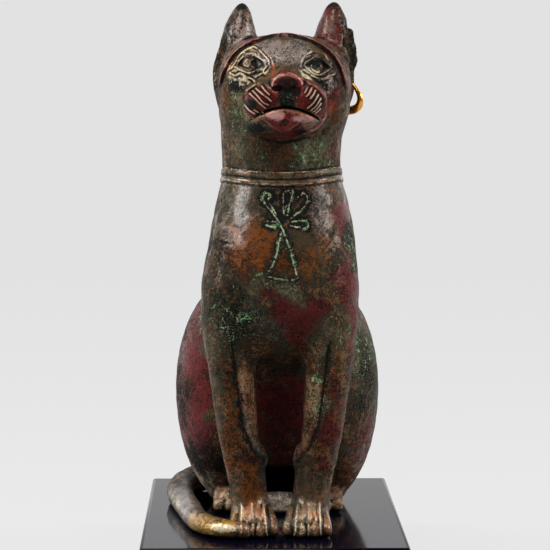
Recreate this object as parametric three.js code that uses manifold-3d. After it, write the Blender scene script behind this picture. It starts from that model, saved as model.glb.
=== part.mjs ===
// A seated cat in cast bronze, the animal of the goddess Bastet, with a gold hoop in one ear,
// on a slab of polished black stone. Millimetres, +Z up. The cat looks along -Y, and the origin
// is in the middle of the slab's underside.
//
// The bronze is one free form. It is described as a field: a function that is negative inside
// the metal and zero on its skin, put together from balls, limbs and lofts that blend into each
// other. The skin is then traced with marching cubes, thinned to few faces, cut flat below and
// pierced for the hoop.

import * as THREE from 'three';
import { edgeTable, triTable } from 'three/addons/objects/MarchingCubes.js';
import { mergeVertices } from 'three/addons/utils/BufferGeometryUtils.js';
import Module from 'manifold-3d';

// Driving dimensions, in millimetres
const figureHeight = 235;
const plinthHeight = 25;
const plinthEdge = 1.2;
const sideMargin = 10.5;
const frontMargin = 23;
const backMargin = 31;
const tailShift = 2.9;
const hoopHeight = 17.2;
const hoopBreadth = 13.2;
const hoopThin = 1.1;
const hoopThick = 4;
const hoopClearance = 0.3;

// The figure's own shares: everything from here to the end of the forms is in hundredths of the
// figure's height, with x to the viewer's right, y to the back and z up from the slab's top.
const toesFront = -33.6;
const rumpBack = 33.6;
const haunchReach = 20.4;
const headShift = 1.0;
const cell = 0.5;
const figureFaces = 8600;

const degree = Math.PI / 180;
const square = (value) => value * value;
const clamp = (value, low, high) => Math.min(Math.max(value, low), high);
const mix = (a, b, share) => a + (b - a) * share;

const raise = (value, power) => (power === 2 ? value * value : Math.pow(value, power));

// Rises smoothly from 0 to 1 between two values.
function ramp(low, high, value) {
  const share = clamp((value - low) / (high - low), 0, 1);
  return share * share * (3 - 2 * share);
}

// A bump of height 1 and the given half-width round zero.
const bump = (value, reach) => 1 - ramp(0, reach, Math.abs(value));

// Joins two fields with a fillet, or cuts one back by another with a rounded edge.
function join(a, b, fillet) {
  const share = Math.max(fillet - Math.abs(a - b), 0) / fillet;
  return Math.min(a, b) - share * share * fillet / 4;
}

const cut = (a, b, fillet) => -join(-a, b, fillet);

// An ellipsoid, or with a power above 2 a squarer one, leaned back about the x axis. A second
// height gives its upper half another radius than its lower half.
function ball(centre, radii, { lean = 0, power = 2, top = radii[2] } = {}) {
  const [cx, cy, cz] = centre;
  const [rx, ry, rz] = radii;
  const c = Math.cos(lean * degree);
  const s = Math.sin(lean * degree);
  return (x, y, z) => {
    const qy = y - cy;
    const qz = z - cz;
    const px = Math.abs(x - cx);
    const py = Math.abs(c * qy - s * qz);
    const pz = s * qy + c * qz;
    const height = pz > 0 ? top : rz;
    const ux = raise(px / rx, power);
    const uy = raise(py / ry, power);
    const uz = raise(Math.abs(pz) / height, power);
    const sum = ux + uy + uz;
    const size = power === 2 ? Math.sqrt(sum) : Math.pow(sum, 1 / power);
    const slope = Math.sqrt(square(ux / (px + 1e-6)) + square(uy / (py + 1e-6))
      + square(uz / (Math.abs(pz) + 1e-6))) * size / (sum + 1e-9);
    return (size - 1) / Math.max(slope, 1e-3);
  };
}

// A straight limb with round ends, whose radius runs evenly from one end to the other. A
// flatness above 1 makes it lower than it is wide.
function limb(from, to, r0, r1, flatness = 1) {
  const [ax, ay, az] = from;
  const bx = to[0] - ax;
  const by = to[1] - ay;
  const bz = (to[2] - az) * flatness;
  const length = bx * bx + by * by + bz * bz;
  return (x, y, z) => {
    const px = x - ax;
    const py = y - ay;
    const pz = (z - az) * flatness;
    const share = clamp((px * bx + py * by + pz * bz) / length, 0, 1);
    const reach = Math.sqrt(square(px - bx * share) + square(py - by * share)
      + square(pz - bz * share));
    return (reach - mix(r0, r1, share)) / Math.sqrt(flatness);
  };
}

// A chain of limbs along a smooth line through points with a radius each, such as the tail.
function chain(points, flatness = 1) {
  const line = new THREE.CatmullRomCurve3(points.map(([x, y, z]) => new THREE.Vector3(x, y, z)));
  const steps = 3 * (points.length - 1);
  const fine = Array.from({ length: steps + 1 }, (_, i) => {
    const before = Math.min(Math.floor(i / 3), points.length - 2);
    const radius = mix(points[before][3], points[before + 1][3], i / 3 - before);
    return [...line.getPoint(i / steps).toArray(), radius];
  });
  const limbs = fine.slice(1).map((point, i) => limb(fine[i], point, fine[i][3], point[3], flatness));
  return (x, y, z) => limbs.reduce((nearest, piece) => Math.min(nearest, piece(x, y, z)), 99);
}

// A smooth curve through stations of equal meaning, read at a height.
function stationAt(stations, z) {
  let i = 0;
  while (i < stations.length - 2 && z < stations[i + 1][0]) i += 1;
  const [before, a, b, after] = [stations[Math.max(i - 1, 0)], stations[i], stations[i + 1],
    stations[Math.min(i + 2, stations.length - 1)]];
  const share = clamp((a[0] - z) / (a[0] - b[0]), 0, 1);
  return a.map((value, k) => {
    const run = a[0] - b[0];
    const tangentA = before === a ? b[k] - a[k] : (b[k] - before[k]) * run / (before[0] - b[0]);
    const tangentB = after === b ? b[k] - a[k] : (after[k] - a[k]) * run / (a[0] - after[0]);
    const t2 = share * share;
    const t3 = t2 * share;
    return (2 * t3 - 3 * t2 + 1) * value + (t3 - 2 * t2 + share) * tangentA
      + (3 * t2 - 2 * t3) * b[k] + (t3 - t2) * tangentB;
  });
}

// An upright body whose section is set at stations from the top down: height, middle in x,
// front, back and half-width. The sections between are looked up in a fine table.
function loft(stations, power, steepness) {
  const top = stations[0][0];
  const bottom = stations[stations.length - 1][0];
  const steps = 240;
  const table = Array.from({ length: steps + 1 }, (_, i) => stationAt(stations, mix(top, bottom, i / steps)));
  return (x, y, z) => {
    const at = clamp((top - z) / (top - bottom), 0, 1) * steps;
    const row = Math.min(Math.floor(at), steps - 1);
    const share = at - row;
    const a = table[row];
    const b = table[row + 1];
    const front = mix(a[2], b[2], share);
    const back = mix(a[3], b[3], share);
    const halfWidth = mix(a[4], b[4], share);
    const halfDepth = (back - front) / 2;
    const px = Math.abs(x - mix(a[1], b[1], share));
    const py = Math.abs(y - (front + back) / 2);
    const ux = Math.pow(px / halfWidth, power);
    const uy = Math.pow(py / halfDepth, power);
    const sum = ux + uy;
    const size = Math.pow(sum, 1 / power);
    const slope = Math.sqrt(square(ux / (px + 1e-6)) + square(uy / (py + 1e-6))) * size / (sum + 1e-9);
    const side = (size - 1) / Math.max(slope, 1e-3) * steepness;
    return Math.max(side, z - top, bottom - z);
  };
}

// Neck and chest, from under the skull down to the arch between the forelegs
const chest = loft([
  [86, 0.8, -22, -2, 11.2],
  [80, 0.7, -24.4, -1.5, 11.7],
  [75, 0.45, -24.8, -1.2, 11.6],
  [71, 0.4, -25.0, -0.6, 11.35],
  [67, 0.5, -25.6, 0.4, 11.4],
  [63.5, 0.55, -26.9, 1.6, 12.25],
  [60, 0.6, -28.3, 3.0, 13.05],
  [56, 0.6, -29.9, 5.2, 13.8],
  [52, 0.55, -31.0, 7.8, 14.25],
  [48, 0.5, -31.4, 10.5, 14.4],
  [44, 0.4, -31.2, 13.5, 14.3],
  [40, 0.3, -30.4, 16.6, 14.0],
  [36, 0, -29.0, 19.5, 13.6],
  [30, 0, -26.5, 23.0, 13.0],
], 2.2, 0.9);
const archHeight = 33.4;

// Belly and back, behind the forelegs, down to the hollow under the belly
const trunk = loft([
  [56, 0, -12, -1, 7.0],
  [50, 0, -17, 7.4, 11.5],
  [44, 0, -18.8, 13.0, 13.0],
  [38, 0, -18.0, 18.0, 13.3],
  [33, 0, -16.0, 21.8, 13.4],
  [28, 0, -12.8, 25.2, 13.3],
  [20, 0, -8.2, 29.8, 13.2],
  [13, 0, -5.4, 32.4, 13.0],
  [8, 0, -4.0, 33.4, 12.6],
], 2.3, 0.85);
const bellyEdge = 9.4;
const rump = ball([0, 17, 10], [14.5, 16.6, 20]);
const underBelly = ball([0, 1.5, 1], [5.4, 9, 7.6], { power: 4 });

// Shoulder, foreleg and elbow of one side
const shoulder = ball([9.7, -18, 43], [4.5, 9, 14], { lean: -10 });
const elbow = ball([9.2, -16, 34], [3.6, 3.8, 6], { lean: -20 });
const foreleg = loft([
  [54, 8.6, -20, -12, 2.0],
  [48, 9.0, -27, -10, 4.4],
  [42, 9.1, -28.7, -11.5, 4.8],
  [37, 9.1, -29.4, -13.4, 4.85],
  [33, 9.0, -29.6, -15.6, 4.8],
  [30, 8.75, -29.7, -17.2, 4.65],
  [26, 8.4, -29.7, -18.6, 4.4],
  [22.8, 8.1, -29.6, -19.3, 4.25],
  [19.2, 7.7, -29.5, -19.6, 4.1],
  [13.8, 6.85, -29.3, -19.9, 3.85],
  [8.3, 6.0, -29.4, -19.9, 3.5],
  [3, 5.5, -30.5, -20.2, 3.7],
  [-2, 5.2, -31, -20.4, 3.8],
], 2.15, 0.95);
const dewClaw = ball([3.5, -23.4, 14.4], [1.2, 1.7, 2.6]);

// The line down the front of a foreleg, x and z. Inside it the leg is cut to a flatter face.
const legLine = [[9.8, 40], [9.0, 33], [8.1, 26], [7.4, 21], [5.6, 16.2], [3.2, 14]];
const legLineDepth = 0.45;

// Front paw of one side: a low back of the paw and four long toes
const paw = ball([4.9, -27.0, 1.6], [4.1, 5.6, 4.6], { power: 2.2 });
const frontToes = [
  { x: 1.6, front: -32.6, half: 1.1 },
  { x: 3.8, front: -33.5, half: 1.3 },
  { x: 6.25, front: -33.5, half: 1.28 },
  { x: 8.3, front: -32.5, half: 1.1 },
].map(({ x, front, half }) => limb(
  [mix(5.2, x, 0.78), -28.4, 4.6], [x, front + half * 1.15, 1.25], half * 0.95, half * 1.2,
));

// Haunch, hind foot and its toes, of one side
const haunch = ball([9.6, 12, 23.5], [10.75, 18.5, 23.4], { lean: -14, top: 21.2 });
const hindFoot = limb([9.9, 25, 2.4], [9.4, 1.6, 2.4], 3.9, 3.4, 1.35);
const hindToes = [
  { x: 6.9, front: -2.2, half: 1.15 },
  { x: 9.1, front: -2.8, half: 1.3 },
  { x: 11.3, front: -2.0, half: 1.25 },
].map(({ x, front, half }) => limb(
  [mix(9.4, x, 0.85), 3, 3.4], [x, front + half * 1.15, 1.4], half * 1.15, half * 1.25,
));

// The low web of metal that the caster left between the hind paws
const web = ball([0, -2.0, 0.2], [8.2, 2.2, 4.1], { power: 2.6 });

// The tail, from the rump along the flank on the -X side to the front paws: x, y, z and radius
const tail = chain([
  [-5, 29, 6.3, 3.4],
  [-11.5, 30, 3.8, 3.2],
  [-16.8, 26.4, 2.7, 2.95],
  [-19.3, 18.5, 2.45, 2.75],
  [-19.5, 9, 2.3, 2.6],
  [-18.6, 0, 2.15, 2.45],
  [-17.4, -9, 2.0, 2.35],
  [-16.4, -17, 1.9, 2.25],
  [-15.1, -24, 1.85, 2.2],
  [-13.2, -29, 1.8, 2.15],
  [-10.6, -31.9, 1.7, 2.05],
  [-7.4, -33.1, 1.5, 1.75],
], 1.05);
const tailTop = 12;

// Skull, cheeks and the parts of the face
const skullHeight = 84;
const skull = ball([headShift, -13.8, skullHeight], [12.2, 13.2, 9.7], { power: 2.5 });
const cheeks = ball([headShift, -17.2, 80], [11.6, 10.0, 8.6], { power: 2.2 });
const noseBridge = limb([0.9, -21, 88.8], [1.05, -30.6, 84.2], 4.2, 2.5);
const muzzle = ball([0.8, -26.8, 80.5], [7.8, 7.6, 6.0], { power: 2.3 });
const whiskerPad = ball([3.5, -30.6, 81.9], [4.0, 3.8, 3.5]);
const lip = ball([1.3, -29.6, 78.6], [5.0, 4.4, 1.9]);
const chin = ball([1.0, -27.9, 77.6], [4.9, 5.0, 2.5]);
const nose = ball([1.05, -32.0, 84.7], [2.95, 2.6, 2.0], { power: 2.3 });
const noseFront = -34.1;
const nostril = ball([1.25, -34.4, 84.1], [0.8, 1.1, 0.75]);
const muzzleMiddle = 1.0;
const mouthHeight = 80.3;
const mouthBend = 0.056;
const mouthReach = 6.5;

// The ears: a pointed dome on the skull, hollowed from the outer side. The place of each hollow
// is counted from the middle of the ear's foot.
const earFoot = skullHeight + 4;
const earMiddle = -10.8;
const earDepth = 6.4;
const ears = [
  { x: -7.1, lean: 0.11, wide: 4.75, height: 11.8, hollow: [-6.2, -2.4, 2.6], size: [3.6, 4.7, 8.0] },
  { x: 10.5, lean: 0.03, wide: 4.85, height: 12, hollow: [5.1, -2.4, 2.6], size: [4.0, 4.9, 8.2] },
];

function earDome(x, y, z, { x: middle, lean, wide, height }) {
  const above = z - earFoot;
  const px = (x - middle + lean * (height - Math.max(above, 0))) / wide;
  const py = (y - earMiddle) / earDepth;
  const below = Math.max(-above / height, 0);
  const value = px * px + py * py + Math.max(above / height, 0) * 0.96 + 1.4 * below * below - 0.98;
  const slope = Math.sqrt(square(2 * px / wide) + square(2 * py / earDepth) + square(1 / height));
  return value / Math.max(slope, 0.08);
}

const earHollows = ears.map(({ x, hollow, size }) => ball(
  [x + hollow[0], earMiddle + hollow[1], earFoot + hollow[2]], size, { power: 2.2 },
));
const earChip = ball(
  [ears[1].x + 4.1, earMiddle + 1.8, earFoot + ears[1].height - 3.8], [1.2, 4, 1.7],
);

// The eyes: middle, half-width, how far the rim rises above the middle and how far it drops,
// how much it droops outwards, and the eyeball's middle and radius
const eyes = [
  { x: -5.2, z: 88.4, wide: 2.9, rise: 2.2, drop: 1.5, droop: 0.06, ball: [-5.8, 88.6, 1.5] },
  { x: 7.2, z: 88.1, wide: 3.1, rise: 1.9, drop: 1.6, droop: 0.14, ball: [7.1, 88.0, 1.4] },
];

// How far a point lies outside an eye's almond, an upper and a lower arc meeting at its corners
function almond(x, z, { x: middle, z: level, wide, rise, drop, droop }) {
  const px = x - middle;
  const pz = z - level + droop * Math.abs(px) * (px * middle > 0 ? 1 : 0);
  const high = pz > 0 ? rise : drop;
  const radius = (wide * wide + high * high) / (2 * high);
  return Math.hypot(px, Math.abs(pz) + radius - high) - radius;
}

// The edge of the hood over the forehead, and the rim round the muzzle: middle and half-sizes
const hood = { x: 0.4, z: 80, wide: 12.1, high: 13.2, power: 2.3 };
const rim = { x: 0.5, z: 80.1, wide: 8.2, high: 6.1, power: 2 };

// Roughly how far a point lies outside such a line
function outsideLine(x, z, { x: middle, z: level, wide, high, power }) {
  const sum = raise(Math.abs(x - middle) / wide, power) + raise(Math.abs(z - level) / high, power);
  return (Math.pow(sum, 1 / power) - 1) * Math.min(wide, high);
}

// Raised and sunk lines of the face, as the height to add to the skin
function faceRelief(x, y, z) {
  const facing = ramp(-12, -17, y);
  if (facing === 0 || z < 70) return 0;
  let height = 0.75 * ramp(82, 85.5, z) * ramp(-0.8, 0.8, outsideLine(x, z, hood));
  for (const eye of eyes) {
    const outside = almond(x, z, eye);
    height += 0.5 * bump(outside - 0.2, 1.0) - 0.35 * ramp(0.1, -0.8, outside);
    height += 0.6 * ramp(eye.ball[2], 0.2, Math.hypot(x - eye.ball[0], z - eye.ball[1]));
    const brow = Math.hypot((x - eye.x) / 1.15, z - eye.z + 1.2) - 4.3;
    height += 0.4 * bump(brow, 1.1) * ramp(eye.z + 0.4, eye.z + 1.6, z);
  }
  const outside = outsideLine(x, z, rim);
  const front = ramp(86.5, 84.5, z) * ramp(-18, -22, y);
  height += front * (0.3 * bump(outside, 0.9) - 0.35 * bump(outside - 1.2, 1.1));
  return height * facing;
}

// The mouth: a deep line bowed upwards, round the front of the muzzle
function mouthCut(x, y, z) {
  const across = Math.abs(x - muzzleMiddle);
  const line = z - (mouthHeight - mouthBend * across * across);
  return bump(line, 0.85) * ramp(mouthReach + 0.6, mouthReach - 1.2, across) * ramp(-22, -25, y);
}

function headField(x, y, z) {
  const side = Math.abs(x - muzzleMiddle);
  let d = join(skull(x, y, z), cheeks(x, y, z), 3);
  d = join(d, noseBridge(x, y, z), 3.2);
  d = join(d, muzzle(x, y, z), 1.3);
  d = join(d, whiskerPad(side, y, z), 0.8);
  d = join(d, chin(x, y, z), 0.9);
  d = join(d, lip(x, y, z), 0.5);
  d = join(d, cut(nose(x, y, z), y - noseFront + 0.25 * (z - 84.7), 0.8), 0.5);
  d = cut(d, nostril(side, y, z), 0.4);
  d -= faceRelief(x, y, z);
  d += 0.9 * mouthCut(x, y, z);
  return d;
}

function earField(x, y, z, d) {
  ears.forEach((ear, i) => {
    const dome = cut(earDome(x, y, z, ear), earHollows[i](x, y, z), 0.7);
    d = join(d, dome, 1.3);
  });
  return cut(d, earChip(x, y, z), 0.4);
}

// The collar: two raised bands and the line below them, cut into the neck
const collarHeight = 66.3;
const collarRise = 0.9;

function collarRelief(x, y, z) {
  const across = x / 11.2;
  const level = z - collarHeight - collarRise * across * across * ramp(-8, -20, y) + 0.12 * (y + 12) / 12;
  return 0.28 * bump(level - 1.0, 0.75) + 0.24 * bump(level + 0.25, 0.65) - 0.2 * bump(level + 1.0, 0.35);
}

// The amulet cut into the chest: three stems from the top, a cross-bar and a skirt below.
// Each stroke is a straight line between two points, x and z.
const amulet = [
  [[-3.3, 63.6], [-0.6, 59.3]], [[0.5, 64.9], [1.1, 60]],
  [[2.8, 64.9], [1.6, 60]], [[4.8, 63.7], [2.2, 59.7]],
  [[-3.3, 63.6], [-1.8, 64.1]], [[3.2, 63.9], [4.8, 63.7]],
  [[-2.8, 58.7], [-1, 58.3]], [[2, 58.3], [5.1, 58.3]],
  [[-0.6, 59.2], [1.4, 55]], [[1.4, 55], [2.9, 49.2]],
  [[0.2, 57], [-2, 49.4]], [[-2, 49], [3, 48.6]],
];
const strokeWidth = 0.5;
const strokeDepth = 0.35;

function strokeDistance(x, z, [[ax, az], [bx, bz]]) {
  const dx = bx - ax;
  const dz = bz - az;
  const share = clamp(((x - ax) * dx + (z - az) * dz) / (dx * dx + dz * dz), 0, 1);
  return Math.hypot(x - ax - dx * share, z - az - dz * share);
}

function amuletCut(x, y, z) {
  if (y > -20 || z < 47.5 || z > 66 || Math.abs(x) > 6) return 0;
  const nearest = Math.min(...amulet.map((stroke) => strokeDistance(x, z, stroke)));
  return strokeDepth * bump(nearest, strokeWidth);
}

// Sinks the inner face of a foreleg behind the line down its front.
function legCut(side, y, z) {
  if (y > -20 || z > 40 || z < 12) return 0;
  let i = 0;
  while (i < legLine.length - 2 && z < legLine[i + 1][1]) i += 1;
  const [[x0, z0], [x1, z1]] = [legLine[i], legLine[i + 1]];
  const inside = mix(x0, x1, clamp((z0 - z) / (z0 - z1), 0, 1)) - side;
  return legLineDepth * ramp(-0.2, 0.9, inside) * ramp(40, 34, z) * ramp(13.4, 16, z) * ramp(-20, -23, y);
}

// The whole figure, which runs a little into the slab until it is cut flat
const sunk = -1.2;

function figure(x, y, z) {
  const side = Math.abs(x);
  let d = cut(chest(x, y, z), z - archHeight, 4);
  if (z > 62) {
    d = join(d, headField(x, y, z), 1.6);
    d = earField(x, y, z, d);
    return d - collarRelief(x, y, z) + amuletCut(x, y, z);
  }
  let hind = cut(trunk(x, y, z), z - bellyEdge, 3);
  hind = join(hind, rump(x, y, z), 3);
  d = join(d, hind, 4);
  d = join(d, shoulder(side, y, z), 2.5);
  let leg = foreleg(side, y, z) + legCut(side, y, z);
  leg = join(leg, elbow(side, y, z), 3);
  leg = join(leg, dewClaw(side, y, z), 0.9);
  leg = join(leg, paw(side, y, z), 1.4);
  frontToes.forEach((toe) => { leg = join(leg, toe(side, y, z), 0.35); });
  d = join(d, leg, 3);
  d = join(d, haunch(side, y, z), 2.4);
  d = cut(d, underBelly(x, y, z), 1);
  let foot = hindFoot(side, y, z);
  hindToes.forEach((toe) => { foot = join(foot, toe(side, y, z), 0.35); });
  d = join(d, foot, 1.0);
  d = join(d, web(x, y, z), 0.8);
  if (z < tailTop) d = join(d, tail(x, y, z), 0.6);
  return Math.max(d + amuletCut(x, y, z), sunk - z);
}

// Traces the zero level of a field with marching cubes. Only blocks of cells near the skin are
// looked at. The box is given by its lowest corner and its counts of cells.
function traceSkin(field, lowest, counts, step) {
  const [nx, ny, nz] = counts.map((count) => count + 1);
  const values = new Float32Array(nx * ny * nz).fill(NaN);
  const edgePoints = new Map();
  const points = [];
  const faces = [];
  const indexOf = (i, j, k) => (k * ny + j) * nx + i;
  const place = (i, j, k) => [lowest[0] + i * step, lowest[1] + j * step, lowest[2] + k * step];

  function valueAt(i, j, k) {
    const index = indexOf(i, j, k);
    if (Number.isNaN(values[index])) {
      const value = field(...place(i, j, k));
      values[index] = Math.abs(value) < 1e-3 ? 1e-3 : value;
    }
    return values[index];
  }

  // The corners of a cell, the bit that each sets, and the two corners of each edge, in the
  // order that the tables take.
  const corners = [[0, 0, 0], [1, 0, 0], [0, 1, 0], [1, 1, 0], [0, 0, 1], [1, 0, 1], [0, 1, 1], [1, 1, 1]];
  const bits = [1, 2, 8, 4, 16, 32, 128, 64];
  const edges = [[0, 1], [1, 3], [2, 3], [0, 2], [4, 5], [5, 7], [6, 7], [4, 6],
    [0, 4], [1, 5], [3, 7], [2, 6]];

  function edgePoint(i, j, k, edge) {
    const start = [i, j, k];
    const [a, b] = edges[edge].map((corner) => corners[corner].map((offset, axis) => start[axis] + offset));
    const key = indexOf(...a) * 3 + [0, 1, 2].find((axis) => a[axis] !== b[axis]);
    if (!edgePoints.has(key)) {
      const pa = place(...a);
      const pb = place(...b);
      const at = (share) => pa.map((value, axis) => mix(value, pb[axis], share));
      let [low, high, atLow, atHigh] = [0, 1, valueAt(...a), valueAt(...b)];
      for (let round = 0; round < 2; round += 1) {
        const share = mix(low, high, atLow / (atLow - atHigh));
        const value = field(...at(share));
        if ((value < 0) === (atLow < 0)) [low, atLow] = [share, value];
        else [high, atHigh] = [share, value];
      }
      edgePoints.set(key, points.length);
      points.push(at(clamp(mix(low, high, atLow / (atLow - atHigh)), 0.03, 0.97)));
    }
    return edgePoints.get(key);
  }

  function traceCell(i, j, k) {
    let code = 0;
    corners.forEach(([di, dj, dk], corner) => {
      if (valueAt(i + di, j + dj, k + dk) < 0) code |= bits[corner];
    });
    if (edgeTable[code] === 0) return;
    for (let at = code * 16; triTable[at] !== -1; at += 3) {
      faces.push([0, 1, 2].map((corner) => edgePoint(i, j, k, triTable[at + corner])));
    }
  }

  const block = 4;
  const reach = block * step * Math.sqrt(3) / 2;
  for (let k = 0; k < counts[2]; k += block) {
    for (let j = 0; j < counts[1]; j += block) {
      for (let i = 0; i < counts[0]; i += block) {
        const middle = place(i + block / 2, j + block / 2, k + block / 2);
        if (Math.abs(field(...middle)) > reach * 1.9) continue;
        for (let c = k; c < Math.min(k + block, counts[2]); c += 1) {
          for (let b = j; b < Math.min(j + block, counts[1]); b += 1) {
            for (let a = i; a < Math.min(i + block, counts[0]); a += 1) traceCell(a, b, c);
          }
        }
      }
    }
  }
  return { points, faces };
}

// A heap of edges to collapse, the cheapest first
class EdgeHeap {
  constructor() {
    this.items = [];
  }

  push(item) {
    const items = this.items;
    let at = items.push(item) - 1;
    while (at > 0) {
      const parent = (at - 1) >> 1;
      if (items[parent].cost <= item.cost) break;
      items[at] = items[parent];
      at = parent;
    }
    items[at] = item;
  }

  pop() {
    const items = this.items;
    const first = items[0];
    const last = items.pop();
    if (items.length === 0) return first;
    let at = 0;
    for (;;) {
      let child = 2 * at + 1;
      if (child >= items.length) break;
      if (child + 1 < items.length && items[child + 1].cost < items[child].cost) child += 1;
      if (last.cost <= items[child].cost) break;
      items[at] = items[child];
      at = child;
    }
    items[at] = last;
    return first;
  }
}

const minus = (a, b) => [a[0] - b[0], a[1] - b[1], a[2] - b[2]];
const dot = (a, b) => a[0] * b[0] + a[1] * b[1] + a[2] * b[2];
const cross = (a, b) => [
  a[1] * b[2] - a[2] * b[1], a[2] * b[0] - a[0] * b[2], a[0] * b[1] - a[1] * b[0],
];
const normalOf = (a, b, c) => cross(minus(b, a), minus(c, a));
const squared = (a) => a[0] * a[0] + a[1] * a[1] + a[2] * a[2];

// Thins a closed mesh to about the wanted number of faces. Edges are collapsed where that moves
// the skin least, measured by the squared distances to the planes of the faces that are gone.
// The care function makes chosen places dearer, so that they keep more faces, and long edges
// cost a little more than short ones, which keeps the faces well shaped.
function thin({ points, faces }, wanted, care) {
  const around = points.map(() => []);
  const planes = new Float64Array(10 * points.length);
  const stamps = new Int32Array(points.length);
  const seen = new Int32Array(points.length);
  const lengthShare = 2e-4;
  const middleShare = 2e-3;
  let mark = 0;
  let left = faces.length;

  faces.forEach((face, index) => {
    const [a, b, c] = face.map((corner) => points[corner]);
    const normal = normalOf(a, b, c);
    const size = Math.sqrt(squared(normal)) || 1e-12;
    const [nx, ny, nz] = normal.map((value) => value / size);
    const offset = -(nx * a[0] + ny * a[1] + nz * a[2]);
    const weight = size * care(a);
    const terms = [nx * nx, nx * ny, nx * nz, nx * offset, ny * ny, ny * nz, ny * offset,
      nz * nz, nz * offset, offset * offset];
    face.forEach((corner) => {
      around[corner].push(index);
      for (let slot = 0; slot < 10; slot += 1) planes[10 * corner + slot] += weight * terms[slot];
    });
  });

  const sum = new Float64Array(10);
  const error = ([x, y, z]) => sum[0] * x * x + 2 * sum[1] * x * y + 2 * sum[2] * x * z + 2 * sum[3] * x
    + sum[4] * y * y + 2 * sum[5] * y * z + 2 * sum[6] * y + sum[7] * z * z + 2 * sum[8] * z + sum[9];

  // The place that meets the two ends' planes best, held lightly to the middle of the edge
  function bestPlace(a, b) {
    const middle = [(a[0] + b[0]) / 2, (a[1] + b[1]) / 2, (a[2] + b[2]) / 2];
    const hold = middleShare * (sum[0] + sum[4] + sum[7]);
    const [xx, yy, zz] = [sum[0] + hold, sum[4] + hold, sum[7] + hold];
    const [xy, xz, yz] = [sum[1], sum[2], sum[5]];
    const right = [hold * middle[0] - sum[3], hold * middle[1] - sum[6], hold * middle[2] - sum[8]];
    const rows = [
      [yy * zz - yz * yz, xz * yz - xy * zz, xy * yz - xz * yy],
      [xz * yz - xy * zz, xx * zz - xz * xz, xy * xz - xx * yz],
      [xy * yz - xz * yy, xy * xz - xx * yz, xx * yy - xy * xy],
    ];
    const size = xx * rows[0][0] + xy * rows[0][1] + xz * rows[0][2];
    return rows.map((row) => dot(row, right) / size);
  }

  const heap = new EdgeHeap();
  function offer(a, b) {
    for (let slot = 0; slot < 10; slot += 1) sum[slot] = planes[10 * a + slot] + planes[10 * b + slot];
    const place = bestPlace(points[a], points[b]);
    const cost = error(place) + lengthShare * squared(minus(points[a], points[b]));
    heap.push({ cost, a, b, place, stampA: stamps[a], stampB: stamps[b] });
  }

  // The ring of a vertex, itself included, that the two ends share: four on a sound edge
  function sharedRing(a, b) {
    mark += 2;
    let shared = 0;
    for (const index of around[a]) faces[index].forEach((corner) => { seen[corner] = mark; });
    for (const index of around[b]) {
      for (const corner of faces[index]) {
        if (seen[corner] === mark) {
          seen[corner] = mark + 1;
          shared += 1;
        }
      }
    }
    return shared;
  }

  const longest = (a, b, c) => Math.max(squared(minus(a, b)), squared(minus(b, c)), squared(minus(c, a)));

  // No face round a moved vertex may turn over or become much more of a sliver than it was.
  function keepsFaces(vertex, other, place) {
    return around[vertex].every((index) => {
      const face = faces[index];
      if (face.includes(other)) return true;
      const before = face.map((corner) => points[corner]);
      const after = face.map((corner) => (corner === vertex ? place : points[corner]));
      const n0 = normalOf(...before);
      const n1 = normalOf(...after);
      const l0 = Math.sqrt(squared(n0));
      const l1 = Math.sqrt(squared(n1));
      if (dot(n0, n1) < 0.3 * l0 * l1) return false;
      const shape = l1 / longest(...after);
      return shape > 0.2 || shape > 0.5 * l0 / longest(...before);
    });
  }

  function collapse({ a, b, place }) {
    for (const index of around[b]) {
      const face = faces[index];
      if (face.includes(a)) {
        faces[index] = null;
        left -= 1;
        face.forEach((corner) => {
          if (corner !== b) around[corner] = around[corner].filter((other) => other !== index);
        });
      } else {
        face[face.indexOf(b)] = a;
        around[a].push(index);
      }
    }
    around[b] = [];
    for (let slot = 0; slot < 10; slot += 1) planes[10 * a + slot] += planes[10 * b + slot];
    points[a] = place;
    stamps[a] += 1;
    stamps[b] = -1;
    mark += 1;
    seen[a] = mark;
    for (const index of around[a]) {
      for (const corner of faces[index]) {
        if (seen[corner] !== mark) {
          seen[corner] = mark;
          offer(a, corner);
        }
      }
    }
  }

  faces.forEach((face) => face.forEach((corner, i) => {
    const next = face[(i + 1) % 3];
    if (corner < next) offer(corner, next);
  }));

  // Edges that can't be collapsed now wait until the others are through.
  let waiting = [];
  while (left > wanted) {
    if (heap.items.length === 0) {
      const again = waiting.filter((item) => (
        stamps[item.a] === item.stampA && stamps[item.b] === item.stampB
      ));
      if (again.length === 0) break;
      again.forEach((item) => heap.push(item));
      waiting = [];
    }
    const start = left;
    while (left > wanted && left > 0.9 * start && heap.items.length > 0) {
      const item = heap.pop();
      if (stamps[item.a] !== item.stampA || stamps[item.b] !== item.stampB) continue;
      const fits = sharedRing(item.a, item.b) === 4 && keepsFaces(item.a, item.b, item.place)
        && keepsFaces(item.b, item.a, item.place);
      if (fits) collapse(item);
      else waiting.push(item);
    }
    if (left === start && heap.items.length === 0) break;
    waiting.forEach((item) => heap.push(item));
    waiting = [];
  }
  return { points, faces: faces.filter((face) => face) };
}

// Where the carving is finest: the face, the ears and the toes
function care([x, y, z]) {
  if (z > 74) return y < -20 ? 9 : 4;
  if (z < 9 && y < -18) return 3;
  if (y < -20 && z > 48 && Math.abs(x) < 6) return 2.5;
  return 1;
}

const wasm = await Module();
wasm.setup();

// Solids from arrays and from three.js geometries, and back
function solidOf(points, faces) {
  return new wasm.Manifold(new wasm.Mesh({
    numProp: 3,
    vertProperties: new Float32Array(points.flat()),
    triVerts: new Uint32Array(faces.flat()),
  }));
}

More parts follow.
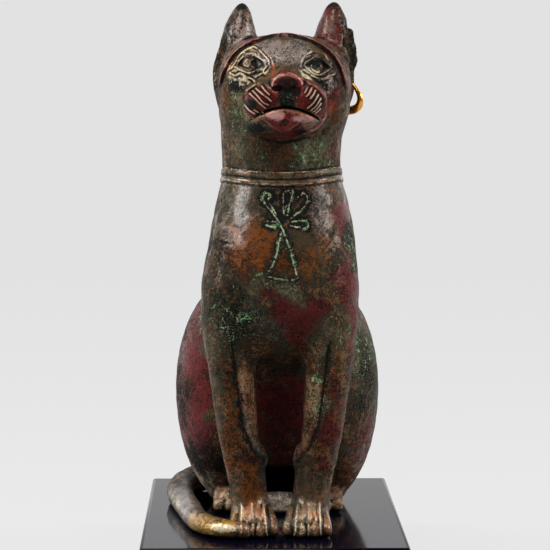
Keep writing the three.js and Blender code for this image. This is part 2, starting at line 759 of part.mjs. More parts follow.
function solidOfGeometry(geometry) {
  geometry.deleteAttribute('normal');
  geometry.deleteAttribute('uv');
  const merged = mergeVertices(geometry);
  const flat = [...merged.attributes.position.array];
  const index = [...merged.index.array];
  const points = flat.filter((_, i) => i % 3 === 0).map((_, i) => flat.slice(3 * i, 3 * i + 3));
  const faces = index.filter((_, i) => i % 3 === 0).map((_, i) => index.slice(3 * i, 3 * i + 3));
  return solidOf(points, faces);
}

function geometryOf(points, faces) {
  const geometry = new THREE.BufferGeometry();
  geometry.setAttribute('position', new THREE.Float32BufferAttribute(points.flat(), 3));
  geometry.setIndex(faces.flat());
  geometry.computeVertexNormals();
  return geometry;
}

function geometryOfSolid(solid) {
  const mesh = solid.getMesh();
  const geometry = new THREE.BufferGeometry();
  geometry.setAttribute('position', new THREE.BufferAttribute(new Float32Array(mesh.vertProperties), 3));
  geometry.setIndex(new THREE.BufferAttribute(new Uint32Array(mesh.triVerts), 1));
  geometry.computeVertexNormals();
  return geometry;
}

// The figure's share of its height, in millimetres, and its place on the slab
const unit = figureHeight / 100;
const plinthWidth = 2 * (haunchReach * unit + sideMargin);
const plinthDepth = (rumpBack - toesFront) * unit + frontMargin + backMargin;
const figurePlace = [tailShift, frontMargin - plinthDepth / 2 - toesFront * unit, plinthHeight];
const toMillimetres = (point) => point.map((value, axis) => value * unit + figurePlace[axis]);

// The hoop: a closed pear-shaped line of changing thickness, hung from a hole low in the ear.
// It is turned about the upright and leans a little outwards.
const hoopHole = [12.6, -7.6, 85];
const hoopTurn = -53 * degree;
const hoopLean = 12 * degree;
const hoopPear = 0.4;
const hoopSteps = 28;
const hoopSides = 8;

function hoopRings(extra) {
  const top = toMillimetres(hoopHole);
  const across = new THREE.Vector3(Math.cos(hoopTurn), Math.sin(hoopTurn), 0);
  const down = new THREE.Vector3(Math.sin(hoopLean), 0, -Math.cos(hoopLean));
  across.addScaledVector(down, -across.dot(down)).normalize();
  const normal = new THREE.Vector3().crossVectors(across, down);
  const halfHeight = (hoopHeight - hoopThick / 2 - hoopThin / 2) / 2;
  const halfBreadth = hoopBreadth / 2;
  const pear = (turn) => (1 - hoopPear * Math.cos(turn)) / (1 + hoopPear * 0.2);
  const at = (turn) => new THREE.Vector3(...top)
    .addScaledVector(across, halfBreadth * Math.sin(turn) * pear(turn))
    .addScaledVector(down, halfHeight * (1 - Math.cos(turn)));
  return Array.from({ length: hoopSteps }, (_, step) => {
    const turn = 2 * Math.PI * step / hoopSteps;
    const along = at(turn + 0.01).sub(at(turn - 0.01)).normalize();
    const outward = new THREE.Vector3().crossVectors(along, normal).normalize();
    const radius = mix(hoopThin, hoopThick, Math.pow((1 - Math.cos(turn)) / 2, 1.6)) / 2 + extra;
    return Array.from({ length: hoopSides }, (_, side) => {
      const angle = 2 * Math.PI * side / hoopSides;
      return at(turn).addScaledVector(outward, radius * Math.cos(angle))
        .addScaledVector(normal, radius * Math.sin(angle)).toArray();
    });
  });
}

// A closed band of rings, each joined to the next and the last to the first
function bandFaces(steps, sides) {
  const faces = [];
  for (let i = 0; i < steps; i += 1) {
    for (let j = 0; j < sides; j += 1) {
      const a = i * sides + j;
      const b = i * sides + (j + 1) % sides;
      const c = ((i + 1) % steps) * sides + (j + 1) % sides;
      const d = ((i + 1) % steps) * sides + j;
      faces.push([a, b, c], [a, c, d]);
    }
  }
  return faces;
}

// Turns every face over if the mesh encloses a negative volume.
function outward(points, faces) {
  const volume = faces.reduce((sum, [a, b, c]) => sum + dot(points[a], cross(points[b], points[c])), 0);
  return volume < 0 ? faces.map(([a, b, c]) => [a, c, b]) : faces;
}

function catGeometry() {
  const lowest = [-24, -41, -2];
  const counts = [46, 78, 103].map((size) => Math.ceil(size / cell));
  const traced = traceSkin(figure, lowest, counts, cell);
  const thinned = thin(traced, figureFaces, care);
  const used = new Map();
  const faces = thinned.faces.map((face) => face.map((corner) => {
    if (!used.has(corner)) used.set(corner, used.size);
    return used.get(corner);
  }));
  const points = [...used.keys()].map((corner) => toMillimetres(thinned.points[corner]));
  const whole = solidOf(points, outward(points, faces));
  const under = new THREE.BoxGeometry(4 * plinthWidth, 4 * plinthDepth, 2 * plinthHeight);
  const rings = hoopRings(hoopClearance).flat();
  const pierced = outward(rings, bandFaces(hoopSteps, hoopSides));
  return geometryOfSolid(whole.subtract(solidOfGeometry(under)).subtract(solidOf(rings, pierced)));
}

function hoopGeometry() {
  const rings = hoopRings(0).flat();
  return geometryOf(rings, outward(rings, bandFaces(hoopSteps, hoopSides)));
}

// A slab with its edges taken off, top and bottom
function plinthGeometry() {
  const outline = new THREE.Shape();
  const halfWidth = plinthWidth / 2 - plinthEdge;
  const halfDepth = plinthDepth / 2 - plinthEdge;
  outline.moveTo(-halfWidth, -halfDepth);
  outline.lineTo(halfWidth, -halfDepth);
  outline.lineTo(halfWidth, halfDepth);
  outline.lineTo(-halfWidth, halfDepth);
  outline.closePath();
  const geometry = new THREE.ExtrudeGeometry(outline, {
    depth: plinthHeight - 2 * plinthEdge,
    bevelThickness: plinthEdge,
    bevelSize: plinthEdge,
    bevelSegments: 2,
  });
  return geometry.translate(0, 0, plinthEdge);
}

const bronze = new THREE.MeshStandardMaterial({ color: 0x3f2c22, roughness: 0.38, metalness: 0.85 });
const gold = new THREE.MeshStandardMaterial({ color: 0xd9a13a, roughness: 0.22, metalness: 1 });
const blackStone = new THREE.MeshStandardMaterial({ color: 0x0c0c0e, roughness: 0.12, metalness: 0 });

function named(name, geometry, material) {
  const mesh = new THREE.Mesh(geometry, material);
  mesh.name = name;
  return mesh;
}

const model = new THREE.Group();
model.name = 'bastet_cat_figure';
model.add(named('cat_figure', catGeometry(), bronze));
model.add(named('gold_earring', hoopGeometry(), gold));
model.add(named('plinth', plinthGeometry(), blackStone));

export default model;
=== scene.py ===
# A seated cat in cast bronze with a gold hoop in one ear, on a slab of polished black stone.
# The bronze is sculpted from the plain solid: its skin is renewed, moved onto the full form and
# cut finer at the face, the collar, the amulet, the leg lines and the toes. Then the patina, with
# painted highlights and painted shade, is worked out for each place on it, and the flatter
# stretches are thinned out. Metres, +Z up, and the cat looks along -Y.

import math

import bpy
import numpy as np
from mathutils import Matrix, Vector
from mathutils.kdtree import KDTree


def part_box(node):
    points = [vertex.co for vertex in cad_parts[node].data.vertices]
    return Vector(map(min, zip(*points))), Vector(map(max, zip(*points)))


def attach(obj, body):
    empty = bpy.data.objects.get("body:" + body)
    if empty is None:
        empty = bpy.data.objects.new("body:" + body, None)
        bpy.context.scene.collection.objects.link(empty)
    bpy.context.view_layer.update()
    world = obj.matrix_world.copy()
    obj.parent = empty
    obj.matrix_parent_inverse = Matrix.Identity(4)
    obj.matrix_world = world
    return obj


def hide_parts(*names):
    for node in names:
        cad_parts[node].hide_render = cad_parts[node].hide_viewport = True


bl_info = {
    "name": "Bastet cat figure",
    "version": (1, 0, 0),
    "blender": (4, 5, 0),
    "location": "View3D > Sidebar > Bastet cat",
    "description": "Builds the bronze cat, its gold hoop, its stone slab and the photo stage",
    "category": "Object",
}

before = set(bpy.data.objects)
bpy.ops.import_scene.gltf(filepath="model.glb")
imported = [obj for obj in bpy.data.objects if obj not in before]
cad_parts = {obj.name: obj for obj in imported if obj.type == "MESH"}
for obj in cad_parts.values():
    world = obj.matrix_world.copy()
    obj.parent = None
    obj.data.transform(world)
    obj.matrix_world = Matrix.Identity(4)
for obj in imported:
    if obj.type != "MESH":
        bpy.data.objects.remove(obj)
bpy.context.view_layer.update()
slab_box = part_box("plinth")


class FigureSettings(bpy.types.PropertyGroup):
    height: bpy.props.FloatProperty(
        name="Height", description="Height of the cat from its feet to the tips of its ears",
        default=0.235, unit="LENGTH")
    place: bpy.props.FloatVectorProperty(
        name="Place", description="Point of the slab's top that the figure's shares start from",
        default=(0.0029, -0.004, slab_box[1][2]), subtype="TRANSLATION")
    skin_step: bpy.props.FloatProperty(
        name="Skin step", description="Size of the skin's faces before the carved parts are cut finer",
        default=0.0013, unit="LENGTH")
    most_faces: bpy.props.IntProperty(
        name="Most faces", description="Triangles that the finished skin may have", default=190000)
    carving: bpy.props.FloatProperty(
        name="Carving", description="Depth of the carved lines, 1 for the depth of the real ones",
        default=1.0)


class BronzeSettings(bpy.types.PropertyGroup):
    brown: bpy.props.FloatVectorProperty(
        name="Brown", description="Ground colour of the old bronze", subtype="COLOR",
        default=(0.165, 0.084, 0.035))
    umber: bpy.props.FloatVectorProperty(
        name="Umber", description="Darker clouds in the brown", subtype="COLOR",
        default=(0.048, 0.035, 0.019))
    olive: bpy.props.FloatVectorProperty(
        name="Olive", description="Thin green-brown film", subtype="COLOR",
        default=(0.092, 0.094, 0.047))
    # Black is also the colour that the painted shade in hollows, grooves, nostrils and the mouth goes
    # towards
    black: bpy.props.FloatVectorProperty(
        name="Black", description="Black corroded patches and pits", subtype="COLOR",
        default=(0.007, 0.0075, 0.006))
    red: bpy.props.FloatVectorProperty(
        name="Red", description="Wine-red copper oxide", subtype="COLOR",
        default=(0.165, 0.020, 0.020))
    orange: bpy.props.FloatVectorProperty(
        name="Orange", description="Orange-brown oxide", subtype="COLOR",
        default=(0.140, 0.042, 0.004))
    copper: bpy.props.FloatVectorProperty(
        name="Copper", description="Coppery metal on paws and inner legs", subtype="COLOR",
        default=(0.270, 0.130, 0.062))
    green: bpy.props.FloatVectorProperty(
        name="Green", description="Malachite crust", subtype="COLOR",
        default=(0.19, 0.37, 0.20))
    lichen: bpy.props.FloatVectorProperty(
        name="Lichen", description="Pale grey-green grains in the film", subtype="COLOR",
        default=(0.37, 0.34, 0.21))
    # Tan also colours pale lines that are partly painted highlights: whisker ridges, collar edges and the
    # tail's tip
    tan: bpy.props.FloatVectorProperty(
        name="Tan", description="Pale earth left on ridges and feet", subtype="COLOR",
        default=(0.60, 0.52, 0.36))
    # Rosy is laid mostly as painted highlights: on the nose's rim, the lip, the lids, the pad ridges and
    # the hood's edge
    rosy: bpy.props.FloatVectorProperty(
        name="Rosy", description="Pale worn copper on the highest edges of the face", subtype="COLOR",
        default=(0.62, 0.36, 0.33))
    scarlet: bpy.props.FloatVectorProperty(
        name="Scarlet", description="Bright red oxide on pads, lip and nose", subtype="COLOR",
        default=(0.27, 0.026, 0.018))
    golden: bpy.props.FloatVectorProperty(
        name="Golden", description="Rubbed golden-brown metal on the tail", subtype="COLOR",
        default=(0.33, 0.185, 0.042))
    # Grey is partly a painted sheen: on the brow, on the upper chest and along the inside of the forelegs
    grey: bpy.props.FloatVectorProperty(
        name="Grey", description="Grey-mauve metal on brow, ears and chest", subtype="COLOR",
        default=(0.240, 0.200, 0.180))


class HoopSettings(bpy.types.PropertyGroup):
    height: bpy.props.FloatProperty(
        name="Height", description="Outer height of the hoop", default=0.0172, unit="LENGTH")
    breadth: bpy.props.FloatProperty(
        name="Breadth", description="Breadth of the hoop between the middles of its wire",
        default=0.0132, unit="LENGTH")
    thin: bpy.props.FloatProperty(
        name="Thin end", description="Thickness of the wire in the ear", default=0.0011, unit="LENGTH")
    thick: bpy.props.FloatProperty(
        name="Thick end", description="Thickness at the bottom", default=0.004, unit="LENGTH")
    turn: bpy.props.FloatProperty(
        name="Turn", description="Turn of the hoop about the upright", default=math.radians(-42),
        subtype="ANGLE")
    lean: bpy.props.FloatProperty(
        name="Lean", description="Outward lean of the hoop", default=math.radians(12), subtype="ANGLE")
    colour: bpy.props.FloatVectorProperty(
        name="Gold", description="Colour of the gold", subtype="COLOR", default=(0.85, 0.46, 0.09))


class SlabSettings(bpy.types.PropertyGroup):
    edge: bpy.props.FloatProperty(
        name="Edge", description="Width of the rounded edges", default=0.0012, unit="LENGTH")
    colour: bpy.props.FloatVectorProperty(
        name="Stone", description="Colour of the stone", subtype="COLOR", default=(0.0018, 0.0014, 0.0065))
    vein: bpy.props.FloatVectorProperty(
        name="Vein", description="Colour of the faint veins", subtype="COLOR", default=(0.03, 0.029, 0.032))


class StageSettings(bpy.types.PropertyGroup):
    backdrop: bpy.props.FloatVectorProperty(
        name="Backdrop", description="Colour of floor and backdrop", subtype="COLOR",
        default=(0.762, 0.762, 0.767))
    camera_place: bpy.props.FloatVectorProperty(
        name="Camera", description="Place of the camera", default=(-0.0175, -1.313, 0.230),
        subtype="TRANSLATION")
    camera_pitch: bpy.props.FloatProperty(
        name="Pitch", description="How far the camera looks down", default=math.radians(4.13),
        subtype="ANGLE")
    camera_yaw: bpy.props.FloatProperty(
        name="Yaw", description="How far the camera looks to the right", default=math.radians(0.83),
        subtype="ANGLE")
    lens: bpy.props.FloatProperty(
        name="Lens", description="Focal length on a 36 mm sensor", default=185.76)
    side_power: bpy.props.FloatProperty(
        name="Side boxes", description="Power of each soft box at the side, in watts", default=13.0)
    rim_power: bpy.props.FloatProperty(
        name="Rim boxes", description="Power of each tall box behind the figure, in watts", default=1.8)
    top_power: bpy.props.FloatProperty(
        name="Top box", description="Power of the soft box above, in watts", default=9.0)


# Forms of the figure. Everything here is in hundredths of the figure's height, with x to the
# cat's left, y to the back and z up from the slab. Each form gives, for places x, y, z, how far
# they lie outside its skin.

# Stands for a distance too great to matter
far = 99.0


def ramp(low, high, value):
    """Goes smoothly from 0 to 1 as the value goes from low to high."""
    share = np.clip((value - low) / (high - low), 0, 1)
    return share * share * (3 - 2 * share)


def bump(value, reach):
    """1 where the value is 0, going smoothly to 0 at this reach on either side."""
    return 1 - ramp(0, reach, np.abs(value))


def mix(a, b, share):
    """The value that lies this share of the way from a to b."""
    return a + (b - a) * share


def join(a, b, fillet):
    """Two forms as one, with a fillet where they meet."""
    share = np.maximum(fillet - np.abs(a - b), 0) / fillet
    return np.minimum(a, b) - share * share * fillet / 4


def cut(a, b, fillet):
    """Form a with form b taken out of it, the edge rounded."""
    return -join(-a, b, fillet)


def ball(x, y, z, centre, radii, lean=0, power=2, top=None):
    """An egg that may lean back by some degrees, be squarer and be lower or higher at the top."""
    c = math.cos(math.radians(lean))
    s = math.sin(math.radians(lean))
    qy = y - centre[1]
    qz = z - centre[2]
    px = np.abs(x - centre[0])
    py = np.abs(c * qy - s * qz)
    pz = s * qy + c * qz
    height = np.where(pz > 0, radii[2] if top is None else top, radii[2])
    pz = np.abs(pz)
    ux = (px / radii[0]) ** power
    uy = (py / radii[1]) ** power
    uz = (pz / height) ** power
    total = ux + uy + uz
    size = total ** (1 / power)
    slope = np.sqrt((ux / (px + 1e-6)) ** 2 + (uy / (py + 1e-6)) ** 2 + (uz / (pz + 1e-6)) ** 2)
    slope = slope * size / (total + 1e-9)
    return (size - 1) / np.maximum(slope, 1e-3)


def limb(x, y, z, start, end, r0, r1, flatness=1.0):
    """A tapering limb with round ends, flatter than it is wide where flatness is over 1."""
    bx = end[0] - start[0]
    by = end[1] - start[1]
    bz = (end[2] - start[2]) * flatness
    px = x - start[0]
    py = y - start[1]
    pz = (z - start[2]) * flatness
    share = np.clip((px * bx + py * by + pz * bz) / (bx * bx + by * by + bz * bz), 0, 1)
    reach = np.sqrt((px - bx * share) ** 2 + (py - by * share) ** 2 + (pz - bz * share) ** 2)
    return (reach - mix(r0, r1, share)) / math.sqrt(flatness)


def curve_through(points, steps):
    """Points along a smooth curve through the given ones, each a list of numbers."""
    rows = np.array(points, float)
    rows = np.vstack([2 * rows[0] - rows[1], rows, 2 * rows[-1] - rows[-2]])
    out = []
    for i in range(1, len(rows) - 2):
        a, b, c, d = rows[i - 1:i + 3]
        for k in range(steps):
            t = k / steps
            out.append(0.5 * (2 * b + (c - a) * t + (2 * a - 5 * b + 4 * c - d) * t * t
                              + (3 * b - a - 3 * c + d) * t ** 3))
    out.append(rows[-2])
    return np.array(out)


def loft(x, y, z, stations, power, steepness):
    """An upright body, its sections set by height, middle, front, back and half-width."""
    fine = curve_through(stations, 12)[::-1]
    middle, front, back, half = (np.interp(z, fine[:, 0], fine[:, k]) for k in (1, 2, 3, 4))
    depth = (back - front) / 2
    px = np.abs(x - middle)
    py = np.abs(y - (front + back) / 2)
    ux = (px / half) ** power
    uy = (py / depth) ** power
    total = ux + uy
    size = total ** (1 / power)
    slope = np.sqrt((ux / (px + 1e-6)) ** 2 + (uy / (py + 1e-6)) ** 2) * size / (total + 1e-9)
    side = (size - 1) / np.maximum(slope, 1e-3) * steepness
    return np.maximum(np.maximum(side, z - stations[0][0]), stations[-1][0] - z)


def near_line(x, z, points):
    """Distance, seen from the front, to a line through the given places x, z."""
    nearest = np.full(np.shape(x), far)
    for (ax, az), (bx, bz) in zip(points, points[1:]):
        dx = bx - ax
        dz = bz - az
        share = np.clip(((x - ax) * dx + (z - az) * dz) / (dx * dx + dz * dz), 0, 1)
        nearest = np.minimum(nearest, np.hypot(x - ax - dx * share, z - az - dz * share))
    return nearest


def outside_oval(x, z, middle, level, wide, high, power=2.0):
    """How far a place lies outside an oval, seen from the front."""
    total = (np.abs(x - middle) / wide) ** power + (np.abs(z - level) / high) ** power
    return (total ** (1 / power) - 1) * min(wide, high)


def outside_almond(x, z, middle, level, wide, rise, drop, droop):
    """How far a place lies outside an eye's almond, two arcs that meet at its corners."""
    px = x - middle
    pz = z - level + droop * np.abs(px) * (px * middle > 0)
    high = np.where(pz > 0, rise, drop)
    radius = (wide * wide + high * high) / (2 * high)
    return np.hypot(px, np.abs(pz) + radius - high) - radius


# Sections of chest, trunk and forelegs: height, middle, front, back and half-width
chest_sections = (
    (86, 0.8, -22, -2, 11.2), (80, 0.7, -24.4, -1.5, 11.7), (75, 0.45, -24.8, -1.2, 11.6),
    (71, 0.4, -25, -0.6, 11.35), (67, 0.5, -25.6, 0.4, 11.4), (63.5, 0.55, -26.9, 1.6, 12.25),
    (60, 0.6, -28.3, 3, 13.05), (56, 0.6, -29.9, 5.2, 13.8), (52, 0.55, -31, 7.8, 14.25),
    (48, 0.5, -31.4, 10.5, 14.4), (44, 0.4, -31.2, 13.5, 14.3), (40, 0.3, -30.4, 16.6, 14),
    (36, 0, -29, 19.5, 13.6), (30, 0, -26.5, 23, 13),
)
trunk_sections = (
    (56, 0, -12, -1, 7), (50, 0, -17, 7.4, 11.5), (44, 0, -18.8, 13, 13), (38, 0, -18, 18, 13.3),
    (33, 0, -16, 21.8, 13.4), (28, 0, -12.8, 25.2, 13.3), (20, 0, -8.2, 29.8, 13.2),
    (13, 0, -5.4, 32.4, 13), (8, 0, -4, 33.4, 12.6),
)
leg_sections = (
    (54, 8.6, -20, -12, 2), (48, 9, -27, -10, 4.4), (42, 9.1, -28.7, -11.5, 4.8),
    (37, 9.1, -29.4, -13.4, 4.85), (33, 9, -29.6, -15.6, 4.8), (30, 8.75, -29.7, -17.2, 4.65),
    (26, 8.4, -29.7, -18.6, 4.4), (22.8, 8.1, -29.6, -19.3, 4.25), (19.2, 7.7, -29.5, -19.6, 4.1),
    (13.8, 6.85, -29.3, -19.9, 3.85), (8.3, 6, -29.4, -19.9, 3.5), (3, 5.5, -30.5, -20.2, 3.7),
    (-2, 5.2, -31, -20.4, 3.8),
)
# Grooves of the collar: height over its line, depth and half-width
collar_grooves = ((0.38, 0.24, 0.3), (-1.0, 0.16, 0.25), (1.85, 0.12, 0.22))
# The line down the foreleg: distance from the middle of the figure, and height
leg_line = ((9.8, 40), (9.0, 33), (8.1, 26), (7.4, 21), (5.6, 16.2), (3.2, 14))
# The middle of the tail, x, y and z, and its thickness there
tail_line = curve_through((
    (-5, 29, 6.3, 3.4), (-11.5, 30, 3.8, 3.2), (-16.8, 26.4, 2.7, 2.95), (-19.3, 18.5, 2.45, 2.75),
    (-19.5, 9, 2.3, 2.6), (-18.6, 0, 2.15, 2.45), (-17.4, -9, 2.0, 2.35), (-16.4, -17, 1.9, 2.25),
    (-15.1, -24, 1.85, 2.2), (-13.2, -29, 1.8, 2.15), (-10.6, -31.9, 1.7, 2.05), (-7.4, -33.1, 1.5, 1.75),
), 3)
# Toes: how far they are from the middle, the place of their tip and their half-width
front_toes = ((1.6, -32.6, 1.1), (3.8, -33.5, 1.3), (6.25, -33.5, 1.28), (8.3, -32.5, 1.1))
hind_toes = ((6.9, -2.2, 1.15), (9.1, -2.8, 1.3), (11.3, -2.0, 1.25))
# The gaps between the front toes: distance from the middle at the slab, and slant
toe_gaps = ((2.45, 0.12), (5.12, 0.03), (7.5, -0.03))
# Ears: middle, lean, half-width and height, and the middle and radii of the hollow
ears = (
    dict(x=-7.1, lean=0.11, wide=4.75, height=11.8, hollow=(-13.3, -13.2, 90.6), size=(3.6, 4.7, 8.0)),
    dict(x=10.5, lean=0.03, wide=4.85, height=12, hollow=(15.6, -13.2, 90.6), size=(4.0, 4.9, 8.2)),
)
ear_foot = 88
ear_middle = -10.8
ear_depth = 6.4
shoulders = 62
muzzle_middle = 1.0
mouth_middle = 0.75
collar_height = 66.3
collar_rise = 0.9
amulet_foot = 47
amulet_top = 66
# The hole in the cat's left ear, which a plug fills while the skin is renewed, and the hoop's top
hole_middle = (12.6, -7.6, 85)
hole_radius = 0.9
hoop_top = (12.7, -8.6, 85.6)
# Lines seen from the front, as places x, z: the amulet's strokes, then those of the face. Left and
# right are those of someone who looks at the cat.
amulet_lines = (
    ((-2.3, 63.2), (-1.75, 63.75), (-2.3, 64.3), (-2.95, 64.15), (-3.35, 63.4), (-3.0, 62.5)),
    ((-3.1, 62.6), (-0.3, 59.0), (1.35, 55.0), (2.45, 51.5), (3.0, 49.2)),
    ((-2.0, 62.3), (-0.9, 60.6)),
    ((0.55, 64.3), (0.55, 61.0), (0.9, 60.2)),
    ((0.9, 64.6), (2.4, 64.7), (1.75, 62.5), (1.3, 60.2)),
    ((3.3, 63.4), (3.9, 64.2), (4.75, 64.0), (5.15, 63.1), (4.7, 62.0), (3.3, 60.7), (2.0, 59.6)),
    ((-2.75, 59.1), (-0.9, 59.1)),
    ((-2.6, 58.4), (-1.2, 58.0)),
    ((2.2, 59.0), (3.4, 59.2), (5.0, 59.0), (5.05, 57.9), (3.4, 58.0), (1.9, 58.3)),
    ((0.1, 56.9), (-0.6, 53.8), (-1.2, 51.8), (-2.1, 49.9)),
    ((-2.1, 48.9), (-0.4, 48.5), (1.2, 48.3), (2.5, 48.4)),
)
# The almonds of the eyes: middle, level, half-width, and how far they rise, drop and droop
eye_left = dict(middle=-5.5, level=88.15, wide=2.5, rise=1.75, drop=0.8, droop=0.06)
eye_right = dict(middle=7.05, level=88.0, wide=2.3, rise=1.25, drop=1.15, droop=0.08)
left_eye_lines = (
    ((-9.8, 87.2), (-8.4, 88.5), (-7.8, 89.7), (-6.7, 90.8), (-5.4, 91.4), (-4.3, 91.2), (-3.3, 90.4),
     (-2.5, 89.3), (-2.2, 88.3)),
    ((-7.6, 88.9), (-6.5, 90.0), (-5.4, 90.3), (-4.4, 90.0), (-3.6, 89.2)),
    ((-4.6, 86.0), (-3.8, 86.4), (-3.1, 87.0), (-2.6, 88.0)),
    ((-8.5, 87.8), (-7.4, 87.1), (-6.0, 86.9), (-4.7, 87.1)),
    ((-9.5, 86.6), (-8.6, 86.1), (-7.7, 86.5), (-7.0, 86.2)),
    ((-6.4, 83.7), (-5.6, 84.1), (-4.9, 84.6)),
    ((-6.0, 86.0), (-5.2, 85.7), (-4.9, 85.2)),
)
right_eye_lines = (
    ((3.9, 88.2), (4.4, 89.6), (5.6, 90.6), (7.4, 90.5), (8.6, 89.8), (9.5, 88.6)),
    ((4.2, 87.3), (5.1, 86.8), (6.5, 86.35), (7.9, 86.6), (9.2, 87.3)),
    ((5.8, 86.3), (7.9, 85.6), (9.6, 86.0), (10.4, 86.5)),
)
pad_lines = (
    ((-3.5, 84.3), (-2.85, 83.4), (-2.15, 82.7)),
    ((-4.6, 83.85), (-3.5, 82.9), (-2.35, 82.0), (-1.7, 81.4)),
    ((-5.15, 83.4), (-4.3, 82.45), (-3.3, 81.3), (-2.3, 80.8)),
    ((-5.75, 82.9), (-4.8, 82.0), (-3.75, 80.95), (-2.8, 80.2)),
    ((-4.9, 79.9), (-4.1, 79.4)),
    ((-6.7, 80.8), (-5.85, 79.8), (-4.7, 79.1)),
    ((4.9, 84.2), (4.4, 83.1)),
    ((5.7, 84.0), (5.2, 83.0), (4.7, 82.4)),
    ((6.35, 83.5), (6.0, 82.7), (5.4, 82.0)),
    ((6.9, 82.7), (5.9, 81.1), (4.9, 80.2)),
    ((7.35, 82.0), (6.45, 80.6), (5.5, 79.8)),
    ((7.4, 81.1), (6.5, 79.9), (5.9, 79.5)),
    ((7.3, 80.1), (6.7, 79.5), (6.3, 79.2)),
)
red_arcs = (
    ((-9.6, 87.6), (-8.9, 89.2), (-7.4, 90.9), (-5.2, 92.2)),
    ((-2.9, 90.8), (-1.8, 89.2), (-1.3, 88.0), (-1.5, 86.4)),
    ((7.6, 91.2), (9.1, 89.9), (10.0, 88.6), (10.9, 86.8)),
    ((9.4, 84.6), (9.2, 83.0), (9.5, 81.2), (9.9, 79.0)),
)
nose_rims = (
    ((-1.7, 84.3), (-1.3, 85.4), (-0.5, 86.2), (0.3, 86.5)),
    ((1.3, 86.7), (2.6, 86.3), (3.5, 85.6), (4.0, 84.7)),
)
left_eye_lines, right_eye_lines, pad_lines, nose_rims, amulet_lines = (
    [curve_through(line, 3) if len(line) > 2 else np.array(line) for line in lines]
    for lines in (left_eye_lines, right_eye_lines, pad_lines, nose_rims, amulet_lines))
lip_edge = (
    (-4.2, 79.2), (-3.2, 78.0), (-1.9, 76.5), (0.1, 75.4), (1.5, 75.8), (2.5, 76.5), (3.4, 77.2),
    (6.8, 77.8),
)


def ear_dome(x, y, z, x_middle, lean, wide, height):
    """An ear before it is hollowed."""
    above = z - ear_foot
    px = (x - x_middle + lean * (height - np.maximum(above, 0))) / wide
    py = (y - ear_middle) / ear_depth
    below = np.maximum(-above / height, 0)
    value = px * px + py * py + np.maximum(above / height, 0) * 0.96 + 1.4 * below * below - 0.98
    slope = np.sqrt((2 * px / wide) ** 2 + (2 * py / ear_depth) ** 2 + (1 / height) ** 2)
    return value / np.maximum(slope, 0.08)


def crease_distance(x, y, z):
    """How far a place lies outside the edge of the hood over the forehead."""
    return outside_oval(x, z + 0.3 * (y + 19.5), 0.4, 80, 12.1, 13.2, 2.3)


def rim_distance(x, z):
    """How far a place lies outside the rim round the muzzle."""
    return outside_oval(x, z, 0.5, 80.3, 8.1, 5.65)


def nose_distance(x, z):
    """How far a place lies outside the nose, seen from the front."""
    return outside_oval(x, z, 1.2, 84.3, 3.0, 2.6)


def gem_distance(x, z):
    """1 on the edge of the small diamond in the middle of the lower lip, and 0 in its middle."""
    return np.abs(x - 0.66) / 1.25 + np.abs(z - 77.65)


def pupil_distance(x, z):
    """How far a place lies from the sunk pupil of the cat's right eye."""
    return np.hypot(x + 4.75, z - 88.55)


def nearest_line(x, z, lines):
    """Distance, seen from the front, to the nearest of some carved lines, where it is under 2."""
    nearest = np.full(np.shape(x), far)
    for line in lines:
        low = np.min(line, axis=0) - 2
        high = np.max(line, axis=0) + 2
        close = (x > low[0]) & (x < high[0]) & (z > low[1]) & (z < high[1])
        nearest[close] = np.minimum(nearest[close], near_line(x[close], z[close], line))
    return nearest


def whisker_pad(x, z):
    """1 on the two pads beside the nose, and 0 off them."""
    pad = np.hypot(np.abs(x - 1.1) - 5.0, (z - 81.1) / 1.1)
    return ramp(3.3, 2.7, pad) * ramp(0.15, 0.5, mouth_line(x, z))


def lip_share(x, z):
    """1 on the lower lip, which is deepest in the middle, and 0 off it."""
    low_edge = np.interp(x, *zip(*lip_edge))
    below_mouth = ramp(-0.15, -0.6, mouth_line(x, z))
    return below_mouth * ramp(-0.2, 0.5, z - low_edge) * ramp(6.4, 5.2, np.abs(x - muzzle_middle))


def worn(x, z):
    """The places a little astray, so that carved lines look cut by hand and worn."""
    across = 0.14 * np.sin(0.9 * z + 0.5 * x + 1.0) + 0.05 * np.sin(2.2 * z - 1.4 * x)
    upward = 0.14 * np.sin(1.0 * x - 0.6 * z + 2.0) + 0.05 * np.sin(2.4 * x + 1.7 * z)
    return x + across, z + upward


